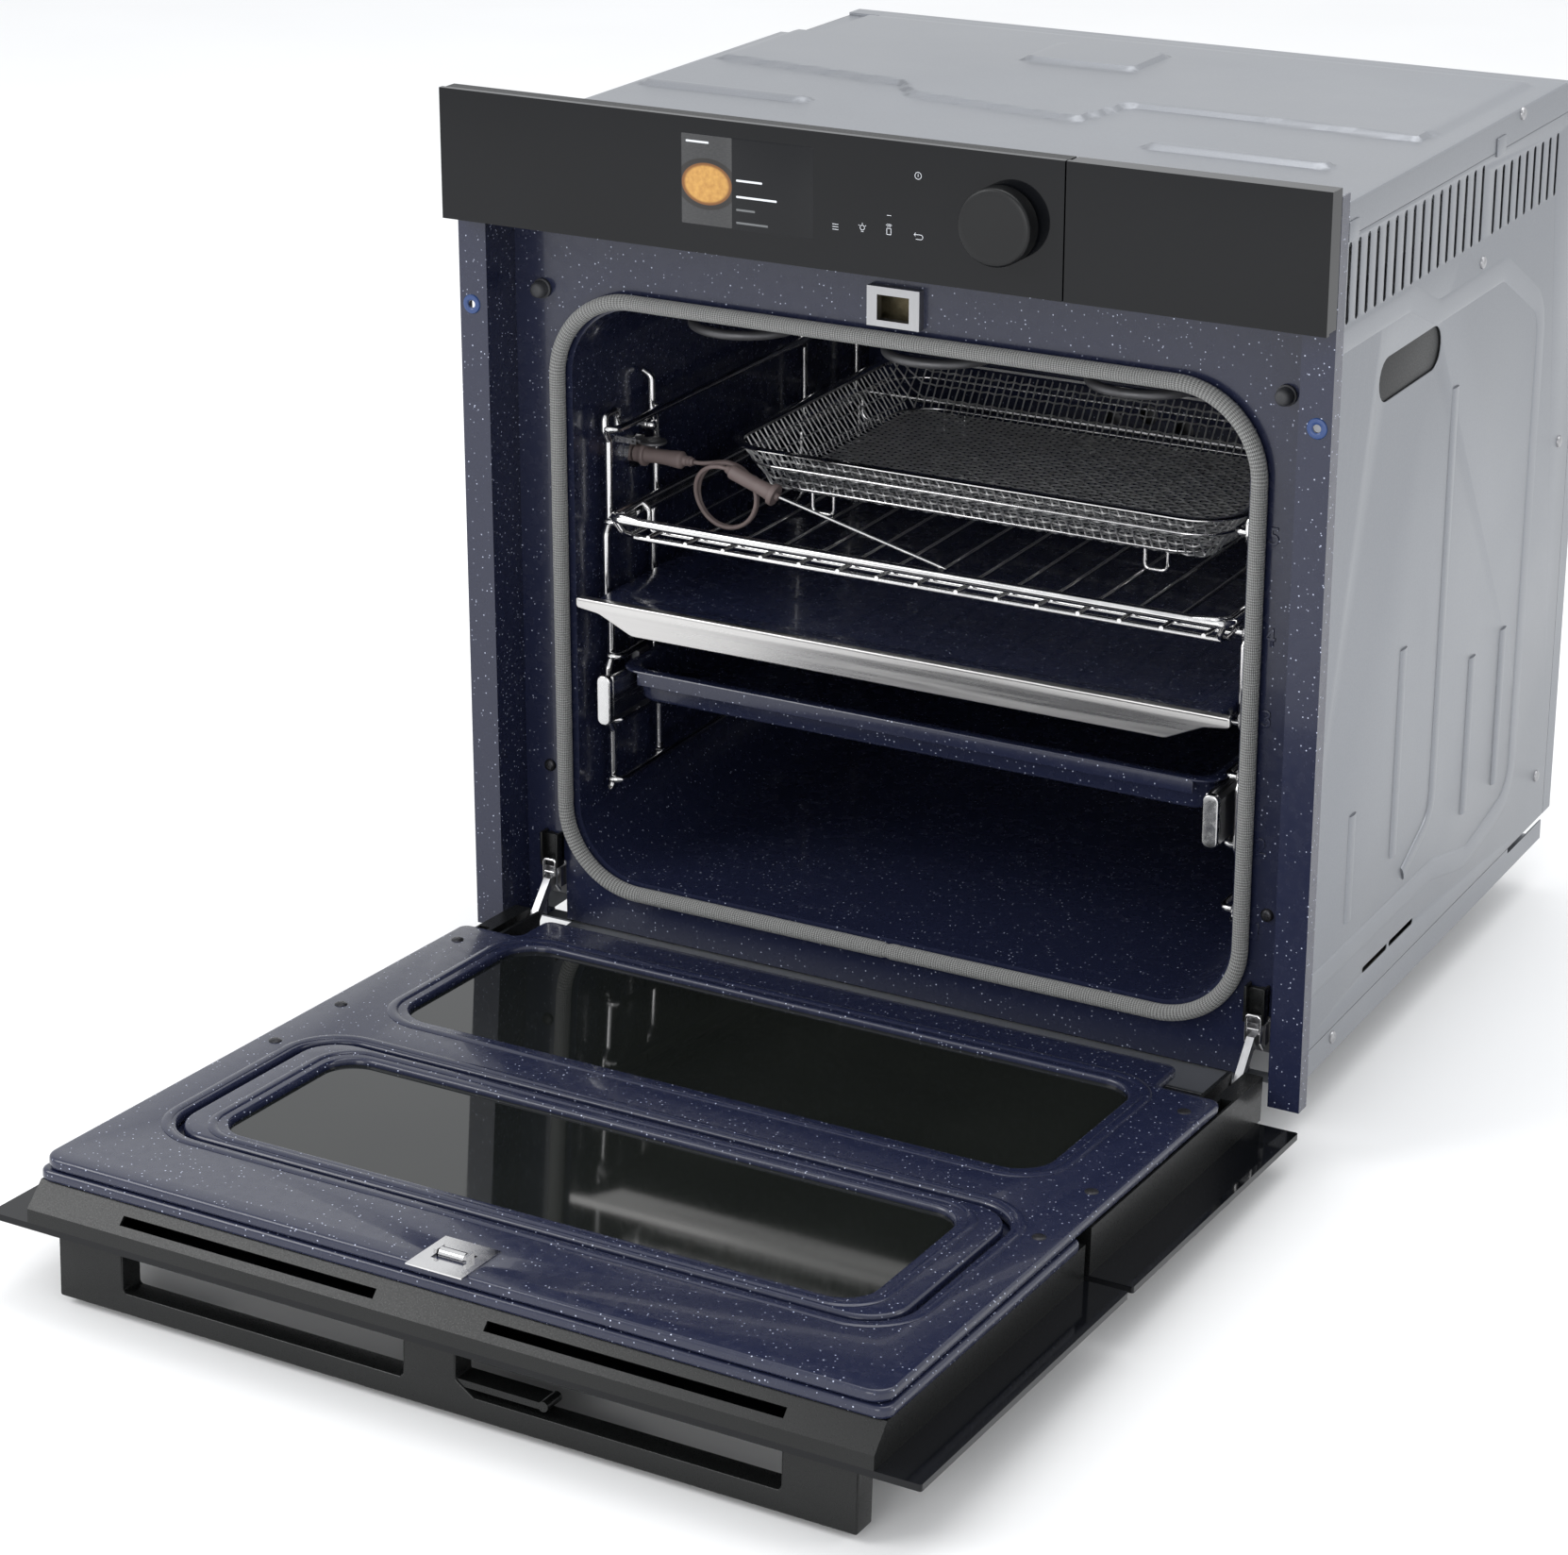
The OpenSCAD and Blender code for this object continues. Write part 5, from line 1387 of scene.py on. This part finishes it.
class OVEN_OT_tray(StepOperator):
    """Makes the enamelled tray and its slides"""

    bl_idname = "oven.tray"
    bl_label = "Baking tray and slides"

    def build(self):
        x, y0, y1, z0, z1 = TRAY.x1, TRAY.y0, TRAY.y1, TRAY.z0, TRAY.z1
        profile = (
            (-14, z0), (-11, z0 + 0.8), (-9.5, z0 + 3), (-8.8, z1 - 6), (-7.6, z1 - 3.2),
            (-5.5, z1 - 2.0), (-1.2, z1 - 2.0), (-0.2, z1 - 1.6), (0, z1 - 1.0), (-0.4, z1 - 0.3),
            (-1.2, z1), (-6.5, z1), (-8.6, z1 - 0.8), (-9.8, z1 - 3), (-10.8, z0 + 6),
            (-13, z0 + 2.4), (-17, z0 + 1.4), (-40, z0 + 1.2),
        )
        rings = [
            [(u, v, z) for u, v in rectangle(
                -x - grow, x + grow, y0 - grow, y1 + grow, max(5.0, 16 + grow * 0.4), 8)]
            for grow, z in profile
        ]
        lips = [
            block(-x + 16, x - 16, y, y + 1.6, z1 - 10, z1 - 0.8, 0.6) for y in (y0, y1 - 1.6)
        ]
        piece("tray", joined(loft(rings), *lips), "enamel", "tray", ["baking_tray"])
        rail = Box("sliding_rails")
        caps = plate("xz", rectangle(211.6, rail.x1, rail.z0, rail.z1, 4.4), [], 36, 41, 1.2)
        bars = block(211.6, x - 0.1, 40.5, rail.y1, rail.z0 + 5, rail.z1 - 1, 0.6)
        piece(
            "tray_slides", mirrored(joined(caps, bars)), "bright_steel", "tray",
            ["sliding_rails"],
        )
        dress("hinge_steel", "fixed_rails")


def ridge(loop, plane_y, width, rise):
    """Pressed bead that stands out of a door sheet along a closed loop."""
    line = [(u, plane_y, v) for u, v in loop]
    return wires([(line, width, 0, True)], "enamel", 10, (1, plane_y, 2 * rise / width))


# Places on the door, which is drawn shut and then turned open.
WINDOW_A = (-220.0, 220.0, 50.0, 197.0)
WINDOW_B = (-210.0, 210.0, 265.0, 393.0)
RAISED = (-235.0, 235.0, 250.0, 408.0)
FACE_Y = 23.1
SHUT_TOP = 477.2
DOOR_HALF = 270.0
HANDLE_HALF = 257.0
SCREW_X = 257.0


class OVEN_OT_door(StepOperator):
    """Makes the enamelled inner sheets of the door and of its flap"""

    bl_idname = "oven.door"
    bl_label = "Door sheets"

    def build(self):
        edge = sizes().sheet_edge / METRE
        outline = rounded(
            [(-227, 9, 7), (227, 9, 7), (227, 44, 6), (DOOR_HALF, 44, 7),
             (DOOR_HALF, SHUT_TOP, 12), (-DOOR_HALF, SHUT_TOP, 12), (-DOOR_HALF, 44, 7),
             (-227, 44, 6)]
        )
        opening = rectangle(RAISED[0] - 4, RAISED[1] + 4, RAISED[2] - 4, RAISED[3] + 4, 30, 10)
        catch = rectangle(-10.5, 10.5, 448.9, 462.9, 2)
        sheet = plate(
            "xz", outline, [rectangle(*WINDOW_A, 24, 10), opening, catch], FACE_Y - 7, FACE_Y, edge
        )
        a = WINDOW_A
        beads = [
            ridge(
                rectangle(a[0] - 10, a[1] + 10, a[2] - 10, a[3] + 10, 32, 10),
                FACE_Y - 0.1, 7, 1.2,
            ),
            ridge(
                rectangle(RAISED[0] - 10, RAISED[1] + 10, RAISED[2] - 10, RAISED[3] + 10, 36, 10),
                FACE_Y - 0.1, 6, 1.0,
            ),
        ]
        piece(
            "door_sheet", joined(sheet, *beads), "enamel", "door", ["door_panel"], True
        )
        base = plate(
            "xz", rectangle(-272, 272, 243.9, 478.2, 8), [rectangle(*WINDOW_B, 20, 10)], 8.5, 15.5,
            edge,
        )
        b = WINDOW_B
        raised = plate(
            "xz", rectangle(*RAISED, 26, 10), [rectangle(*WINDOW_B, 20, 10)], 14.5, FACE_Y, 2.8, 4
        )
        lip = ridge(rectangle(b[0] - 9, b[1] + 9, b[2] - 9, b[3] + 9, 26, 10), FACE_Y - 0.1, 6, 1.2)
        piece(
            "flap_sheet", joined(base, raised, lip), "enamel", "flap", ["flap_panel"],
            True,
        )
        dress("tinted_window", "door_window", "flap_window")
        dress("black_glass", "door_glass", "flap_glass")
        dress("chrome", "latch_plate", "latch_roller")
        dress("black_metal", "door_frame", "flap_frame", "flap_lever")
        spots = [
            ((s * SCREW_X, FACE_Y - 0.4, z), (0, 1, 0)) for s in (-1, 1) for z in (71, 202, 271)
        ]
        screws = repeated(screw(8.5, 1.6, 4.6), spots, "dark_screw")
        piece("door_screws", screws, "dark_screw", "door", [], True)


class OVEN_OT_handle(StepOperator):
    """Makes the bar handle"""

    bl_idname = "oven.handle"
    bl_label = "Handle"

    def build(self):
        out, grip, back, half = -59.5, -46.5, -17.4, HANDLE_HALF
        outline = rounded(
            [(-half, out, 1.4), (half, out, 1.4), (half, back, 0.3), (half - 45, back, 0.3),
             (half - 45, grip, 2.5), (24, grip, 3), (12, grip + 8, 3), (12, back, 0.3),
             (-22, back, 0.3), (-22, grip, 2.5), (-half + 45, grip, 2.5), (-half + 45, back, 0.3),
             (-half, back, 0.3)], 4
        )
        bar = plate("xy", outline, [], 462.2, 478.7, 1.1)
        piece("handle_bar", bar, "black_metal", "flap", ["handle"], True)


# Places on the front frame.
FIXING_X, FIXING_Z = 288.15, 434.0
HINGE_X = 255.0
NUMBER_X = 251.5


class OVEN_OT_front(StepOperator):
    """Finishes the front frame: grommets, stops, screws, numbers and hinge clips"""

    bl_idname = "oven.front"
    bl_label = "Front frame"

    def build(self):
        dress("enamel", "front_frame", "cavity_liner", "fan_cover")
        dress("hinge_steel", "latch_receiver")
        dress("hinge_steel", "hinge_left", "hinge_right")
        ring = [(-1.2, 2.6), (0.4, 2.6), (1.0, 3.2), (1.2, 4.4), (0.9, 5.9), (0.2, 6.4),
                (-1.2, 6.4)]
        grommets = []
        for side in (-1, 1):
            rings = [
                [
                    (side * FIXING_X + r * math.cos(2 * math.pi * k / 28), -out,
                     FIXING_Z + r * math.sin(2 * math.pi * k / 28))
                    for k in range(28)
                ]
                for out, r in ring
            ]
            grommets.append(loft(rings, False, True))
        piece("grommets", joined(*grommets), "blue_plastic", BODY, [])
        stop_x, stop_z = STOPS.x1 - 6.5, (STOPS.z0 + STOPS.z1) / 2
        stops = [
            turned(
                (s * stop_x, RECESS + 4, stop_z), (s * stop_x, 0, stop_z),
                [(0, 2.9), (4, 2.9), (4.1, 6.5), (6, 6.5), (6.6, 5.6), (11, 5.2), (12.6, 4.4),
                 (13.4, 2.8), (13.5, 0.6)],
            )
            for s in (-1, 1)
        ]
        piece("door_stops", joined(*stops), "rubber", BODY, ["front_stops"])
        front = [
            ((s * (stop_x + 2), RECESS - 0.2, z), (0, -1, 0)) for s in (-1, 1) for z in (60, 112)
        ]
        piece(
            "front_screws", repeated(screw(8.6, 2.2, 4.6), front, "dark_screw"), "dark_screw", BODY,
            [],
        )
        self.hinge_clips()
        self.numbers()

    def hinge_clips(self):
        """Black bracket over each hinge arm, and the wire clip that locks it."""
        x = HINGE_X
        bracket = joined(
            block(x - 7, x - 5, RECESS - 9, RECESS - 0.3, 42, 66, 0.6),
            block(x + 5, x + 7, RECESS - 9, RECESS - 0.3, 42, 66, 0.6),
            block(x - 7, x + 7, RECESS - 4, RECESS - 0.3, 46, 64, 0.8),
        )
        piece("hinge_brackets", mirrored(bracket), "black_metal", BODY, [])
        clip = wires(
            [([(x - 4.6, RECESS - 3, 24), (x - 4.6, RECESS - 8, 30), (x - 4.6, RECESS - 8, 47),
               (x + 4.6, RECESS - 8, 47), (x + 4.6, RECESS - 8, 30), (x + 4.6, RECESS - 3, 24)],
              2.4, 2.0),
             ([(x - 4.6, RECESS - 8, 38), (x + 4.6, RECESS - 8, 38)], 1.8, 0)], "chrome",
        )
        piece("hinge_clips", mirrored(clip), "chrome", BODY, [])

    def numbers(self):
        """Shelf level numbers pressed into the right of the front sheet."""
        parts = []
        for text, z in (("5", 353), ("4", 290), ("3", 238), ("2", 155), ("1", 99)):
            curve = bpy.data.curves.new("number", "FONT")
            curve.body = text
            curve.size = 16
            curve.extrude = 0.45
            curve.bevel_depth = 0.25
            curve.align_x = "CENTER"
            curve.align_y = "CENTER"
            holder = bpy.data.objects.new("number", curve)
            bpy.context.scene.collection.objects.link(holder)
            graph = bpy.context.evaluated_depsgraph_get()
            mesh = bpy.data.meshes.new_from_object(holder.evaluated_get(graph))
            bpy.data.objects.remove(holder)
            bm = bmesh.new()
            bm.from_mesh(mesh)
            bpy.data.meshes.remove(mesh)
            move = Matrix.Translation((NUMBER_X, RECESS - 0.25, z)) @ LIE["xz"]
            bmesh.ops.transform(bm, matrix=move, verts=bm.verts)
            parts.append(merged(bm))
        piece("level_numbers", joined(*parts), "enamel", BODY, [])


class OVEN_OT_panel(StepOperator):
    """Makes the display, the touch icons and the dial"""

    bl_idname = "oven.panel"
    bl_label = "Control panel"

    def build(self):
        dress("black_glass", "panel_glass", "drawer_front")
        dress("black_plastic", "panel_frame", "drawer_guide", "power_inlet")
        dress("circuit_board", "control_board")
        dress("bright_steel", "dial_shaft")
        dress("clear_plastic", "water_tank")
        dress("white_plastic", "tank_lid")
        y = FASCIA_Y
        glass = plate("xz", rectangle(-122.5, -31, 510, 566.5, 1.0), [], y - 0.05, y + 0.4, 0.02, 1)
        piece("display_glass", glass, "screen_dark", BODY, [])
        FINISHES["dish_picture"] = dish_picture(-104.5, 536.0)
        picture = plate("xz", rectangle(-122, -87, 510.5, 566, 0.5), [], y - 0.09, y + 0.3, 0.02, 1)
        piece("display_picture", picture, "dish_picture", BODY, [])
        rows = [(-84, -66, 540.5, "list_white"), (-84, -56, 530.5, "list_white"),
                (-84, -71, 522.5, "list_grey"), (-84, -62, 514.5, "list_grey"),
                (-119, -103, 561.5, "list_white")]
        for tone in ("list_white", "list_grey"):
            bars = [
                plate("xz", rectangle(x0, x1, z - 0.65, z + 0.65, 0.5, 3), [], y - 0.13, y + 0.3,
                      0.02, 1)
                for x0, x1, z, name in rows if name == tone
            ]
            piece("display_" + tone, joined(*bars), tone, BODY, [])
        self.icons(y - 0.1)
        self.dial()

    def icons(self, y):
        """Touch icons, drawn with fine round lines on the glass."""
        def ring(x, z, r, start=0, end=360, steps=18):
            turn = [math.radians(start + (end - start) * k / steps) for k in range(steps + 1)]
            points = [(x + r * math.cos(a), y, z + r * math.sin(a)) for a in turn]
            return (points[:-1], 0.34, 0, True) if end - start == 360 else (points, 0.34, 0)

        def stroke(*points):
            return ([(u, y, v) for u, v in points], 0.34, 0)

        lines = [stroke((-18, 520 + k), (-14, 520 + k)) for k in (-1.6, 0, 1.6)]
        lines += [ring(2.2, 521.6, 1.5), stroke((1.4, 519.2), (3.0, 519.2))]
        for k in (30, 90, 150):
            a = math.radians(k)
            lines.append(
                stroke((2.2 + 2.1 * math.cos(a), 521.6 + 2.1 * math.sin(a)),
                       (2.2 + 2.9 * math.cos(a), 521.6 + 2.9 * math.sin(a)))
            )
        box = [(18.6, 519.4), (21.4, 519.4), (21.4, 523.2), (18.6, 523.2)]
        lines.append(([(u, y, v) for u, v in box], 0.34, 0.4, True))
        lines += [ring(20, 522.8, r, 50, 130, 6) for r in (1.9, 2.9)]
        lines.append(stroke((18.6, 531), (21.4, 531)))
        lines += [stroke((37.8, 522.6), (36.8, 521.6), (37.8, 520.6)),
                  stroke((36.8, 521.6), (41.4, 521.6)), ring(41.2, 520.2, 1.4, -90, 90, 8),
                  stroke((41.2, 518.8), (38.0, 518.8))]
        lines += [ring(39, 557, 2.1), stroke((39, 556.2), (39, 558.1))]
        piece("touch_icons", wires(lines, "icon_white", 6), "icon_white", BODY, [])

    def dial(self):
        """The dial, with a finely ribbed side."""
        x, z = (DIAL.x0 + DIAL.x1) / 2, (DIAL.z0 + DIAL.z1) / 2
        r = (DIAL.x1 - DIAL.x0) / 2
        sides = 240
        rings = []
        for reach, radius, rib in (
            (DIAL.y1, r - 1.6, 0), (DIAL.y1 - 0.2, r - 0.4, 0), (DIAL.y1 - 1.2, r, 1),
            (DIAL.y0 + 2.2, r, 1), (DIAL.y0 + 1.2, r - 0.15, 0), (DIAL.y0 + 0.4, r - 0.7, 0),
            (DIAL.y0, r - 1.5, 0), (DIAL.y0 + 0.1, r - 5, 0), (DIAL.y0 + 0.5, 4, 0),
        ):
            rings.append(
                [
                    (x + (radius - 0.12 * rib * (k % 2)) * math.cos(2 * math.pi * k / sides), reach,
                     z + (radius - 0.12 * rib * (k % 2)) * math.sin(2 * math.pi * k / sides))
                    for k in range(sides)
                ]
            )
        piece("dial_knob", loft(rings), "dial_black", "dial", ["dial"], sharp=60)


def slot_loop(y0, y1, z0, z1):
    """Hole with round ends."""
    return rectangle(y0, y1, z0, z1, min(y1 - y0, z1 - z0) / 2 - 0.02, 5)


class OVEN_OT_sides(StepOperator):
    """Makes the side sheets with their slots, ribs and screws"""

    bl_idname = "oven.sides"
    bl_label = "Side sheets"

    def build(self):
        x = HALF_W
        z1, y1 = SIDE.z1, SIDE.y1
        top = TOP.z1 - RELIEF
        holes = [slot_loop(117, 224, top - 138, top - 110)]
        holes += [slot_loop(55 + 15.2 * i, 60 + 15.2 * i, top - 73, top - 24) for i in range(16)]
        holes += [slot_loop(307 + 15.2 * i, 312 + 15.2 * i, top - 73, top - 31) for i in range(9)]
        holes += [slot_loop(y, y + 44, SIDE.z0 + 17, SIDE.z0 + 21) for y in (142, 189)]
        outline = rectangle(SIDE.y0, y1, SIDE.z0, z1, 1.5, 3)
        ribs = [
            ([(x, 109, 84), (x, 109, 156)], 11, 0),
            ([(x, 186, 100), (x, 186, 241)], 11, 0),
            ([(x, 256, 394), (x, 256, 104), (x, 206, 80)], 11, 26),
            ([(x, 321, 82), (x, 321, 193)], 11, 0),
            ([(x, 382, 82), (x, 382, 194)], 11, 0),
        ]
        band = [
            ([(x, 12, 472), (x, 166, 472), (x, 214, 452), (x, 340, 452), (x, 420, 410),
              (x, 420, 62), (x, 330, 46), (x, 262, 62), (x, 40, 62)], 16, 30),
        ]
        for side, name in ((1, "right"), (-1, "left")):
            sheet = plate("yz", outline, holes, x - 1, x, 0.3, 1)
            press = joined(
                wires(ribs, "coated_steel", 16, (0, x, RIB_RISE / 5.5)),
                wires(band, "coated_steel", 16, (0, x, 0.8 / 8)),
                block(x - 14, x - 1, y1 - 1, y1, SIDE.z0, z1, 0.3),
            )
            whole = joined(sheet, press)
            if side < 0:
                bmesh.ops.scale(whole, vec=(-1, 1, 1), verts=whole.verts)
                bmesh.ops.reverse_faces(whole, faces=whole.faces)
            piece(
                "side_sheet_" + name, whole, "coated_steel", BODY, ["side_panel_" + name],
            )
        cup = block(x - 2.6, x - 1.4, 112, 229, top - 143, top - 105, 0.3)
        piece("hand_cups", mirrored(cup), "black_plastic", BODY, [])
        spots = []
        for s in (-1, 1):
            spots += [((s * x, y, z), (s, 0, 0)) for y, z in (
                (294, top - 88), (477, 54), (93, 11), (477, 300), (477, 480))]
        spots.append(((x, 355, top - 4), (1, 0, 0)))
        piece(
            "body_screw_heads", repeated(screw(8.4, 1.8, 4.6), spots, "hinge_steel"), "hinge_steel",
            BODY, ["body_screws"],
        )


def relief(x, y):
    """Height of the pressings in the top sheet over its flat level."""
    def step(edge, at, width=4.0):
        t = min(1.0, max(0.0, (at - edge) / width + 0.5))
        return t * t * (3 - 2 * t)

    def inside(x0, x1, y0, y1, r=6.0):
        u = max(x0 + r - x, x - (x1 - r))
        v = max(y0 + r - y, y - (y1 - r))
        return r - math.hypot(max(u, 0), max(v, 0)) - min(max(u, v), 0)

    rise = 0.0
    for pad in ((-249, -127, 146, 158), (118, 238, 128, 140), (-58, 24, 325, 383)):
        rise = max(rise, RELIEF * step(0, inside(*pad), 5))
    zigzag = ((-250, 246), (-98, 226), (-76, 197), (50, 178), (62, 234), (147, 234), (260, 226))
    line = 246.0
    for (xa, ya), (xb, yb) in zip(zigzag, zigzag[1:]):
        if xa <= x <= xb:
            line = ya + (yb - ya) * (x - xa) / (xb - xa)
    wide = step(-246, x, 8) * (1 - step(262, x, 8))
    back = 1 - step(425, y, 8)
    field = RELIEF * step(line, y, 5) * wide * back
    return max(rise, field) if y < FIELD_FRONT else field + rise


class OVEN_OT_top(StepOperator):
    """Makes the top cover with its pressings"""

    bl_idname = "oven.top"
    bl_label = "Top cover"

    def build(self):
        half, low, high = HALF_W, TOP.z0, TOP.z1 - RELIEF
        y0, y1, bend_y, back_z = TOP.y0, TOP.y1, 445.0, 541.0
        notch_x, notch_y, slope = -half + 59, 350.0, 25.5
        xs = [-half + slope + (2 * half - slope - 3) * i / 150 for i in range(151)]
        ys = [y0 + (y1 - y0) * j / 140 for j in range(141)]
        bm = bmesh.new()

        def fall(y):
            return high - max(0.0, y - bend_y) * (high - back_z) / (y1 - bend_y)

        def section(y):
            up = fall(y)
            left = [(-half, low), (-half, low + 3.4), (-half + 1.2, low + 5.2),
                    (-half + slope - 3, up - 1.6), (-half + slope - 1, up - 0.5)]
            flat = [(x, up + relief(x, y) if y < bend_y else up) for x in xs]
            right = [(half - 1.2, up - 0.3), (half - 0.3, up - 1.2), (half, up - 3), (half, low)]
            return [(x, y, z) for x, z in left + flat + right]

        rows = [[bm.verts.new(p) for p in section(y)] for y in ys]
        for j, (a, b) in enumerate(zip(rows, rows[1:])):
            for k in range(len(a) - 1):
                if ys[j + 1] > notch_y and a[k + 1].co.x < notch_x:
                    continue
                bm.faces.new((a[k], a[k + 1], b[k + 1], b[k]))
        bmesh.ops.delete(bm, geom=[v for v in bm.verts if not v.link_faces], context="VERTS")
        bmesh.ops.recalc_face_normals(bm, faces=bm.faces)
        bmesh.ops.solidify(bm, geom=bm.faces[:], thickness=1.0)
        bmesh.ops.recalc_face_normals(bm, faces=bm.faces)
        floor = block(-half, notch_x + 2, notch_y - 1, y1, low + 4, low + 5, 0.3)
        wall = plate(
            "yz", [(notch_y - 1, low + 4.5), (y1, low + 4.5), (y1, back_z - 0.6),
                   (bend_y, high - 0.6), (notch_y - 1, high - 0.6)],
            [], notch_x, notch_x + 1, 0.2, 1,
        )
        front = plate(
            "xz", [(-half + 3, low + 4.5), (-half + slope + 1, high - 1), (notch_x + 1, high - 1),
                   (notch_x + 1, low + 4.5)][::-1], [], notch_y - 1.4, notch_y, 0.2, 1,
        )
        side = block(-half, -half + 1, notch_y - 1, y1, low, low + 5, 0.3)
        tabs = [block(half - 0.6, half + 1.2, y, y + 16, low - 3, low + 9, 0.6) for y in (52, 307)]
        piece(
            "top_sheet", joined(bm, floor, wall, front, side, *tabs), "coated_steel", BODY,
            ["top_cover"], sharp=30,
        )


class OVEN_OT_inside(StepOperator):
    """Gives the parts inside and behind the body their finishes"""

    bl_idname = "oven.inside"
    bl_label = "Inner parts"

    def build(self):
        dress("coated_steel", "back_panel", "base_plate", "duct_cover", "blower_housing")
        dress("wool", "insulation")
        dress("heater_steel", "ring_heater", "flat_elements")
        dress("fan_steel", "convection_fan", "cooling_fan", "fan_motor")
        dress("lamp_glass", "oven_lamp")
        dress("grey_plastic", "steam_generator")


STEPS = (
    OVEN_OT_stage, OVEN_OT_probe, OVEN_OT_seal, OVEN_OT_racks, OVEN_OT_shelf, OVEN_OT_basket,
    OVEN_OT_divider, OVEN_OT_tray, OVEN_OT_door, OVEN_OT_handle, OVEN_OT_front, OVEN_OT_panel,
    OVEN_OT_sides, OVEN_OT_top, OVEN_OT_inside,
)


class OVEN_PT_panel(bpy.types.Panel):
    """Lists the oven's settings and building steps"""

    bl_label = "Wall oven"
    bl_idname = "OVEN_PT_panel"
    bl_space_type = "VIEW_3D"
    bl_region_type = "UI"
    bl_category = "Oven"

    def draw(self, context):
        for group in (context.scene.oven_sizes, context.scene.oven_colours):
            for key in group.__annotations__:
                self.layout.prop(group, key)
        for step in STEPS:
            self.layout.operator(step.bl_idname)


CLASSES = (OvenSizes, OvenColours, *STEPS, OVEN_PT_panel)


def register():
    """Adds the settings, the steps and the panel."""
    for item in CLASSES:
        bpy.utils.register_class(item)
    bpy.types.Scene.oven_sizes = PointerProperty(type=OvenSizes)
    bpy.types.Scene.oven_colours = PointerProperty(type=OvenColours)


def unregister():
    """Removes what register added."""
    del bpy.types.Scene.oven_colours
    del bpy.types.Scene.oven_sizes
    for item in reversed(CLASSES):
        bpy.utils.unregister_class(item)


def main():
    """Builds the oven."""
    register()
    for step in STEPS:
        group, name = step.bl_idname.split(".")
        getattr(getattr(bpy.ops, group), name)()


if __name__ == "__main__":
    main()
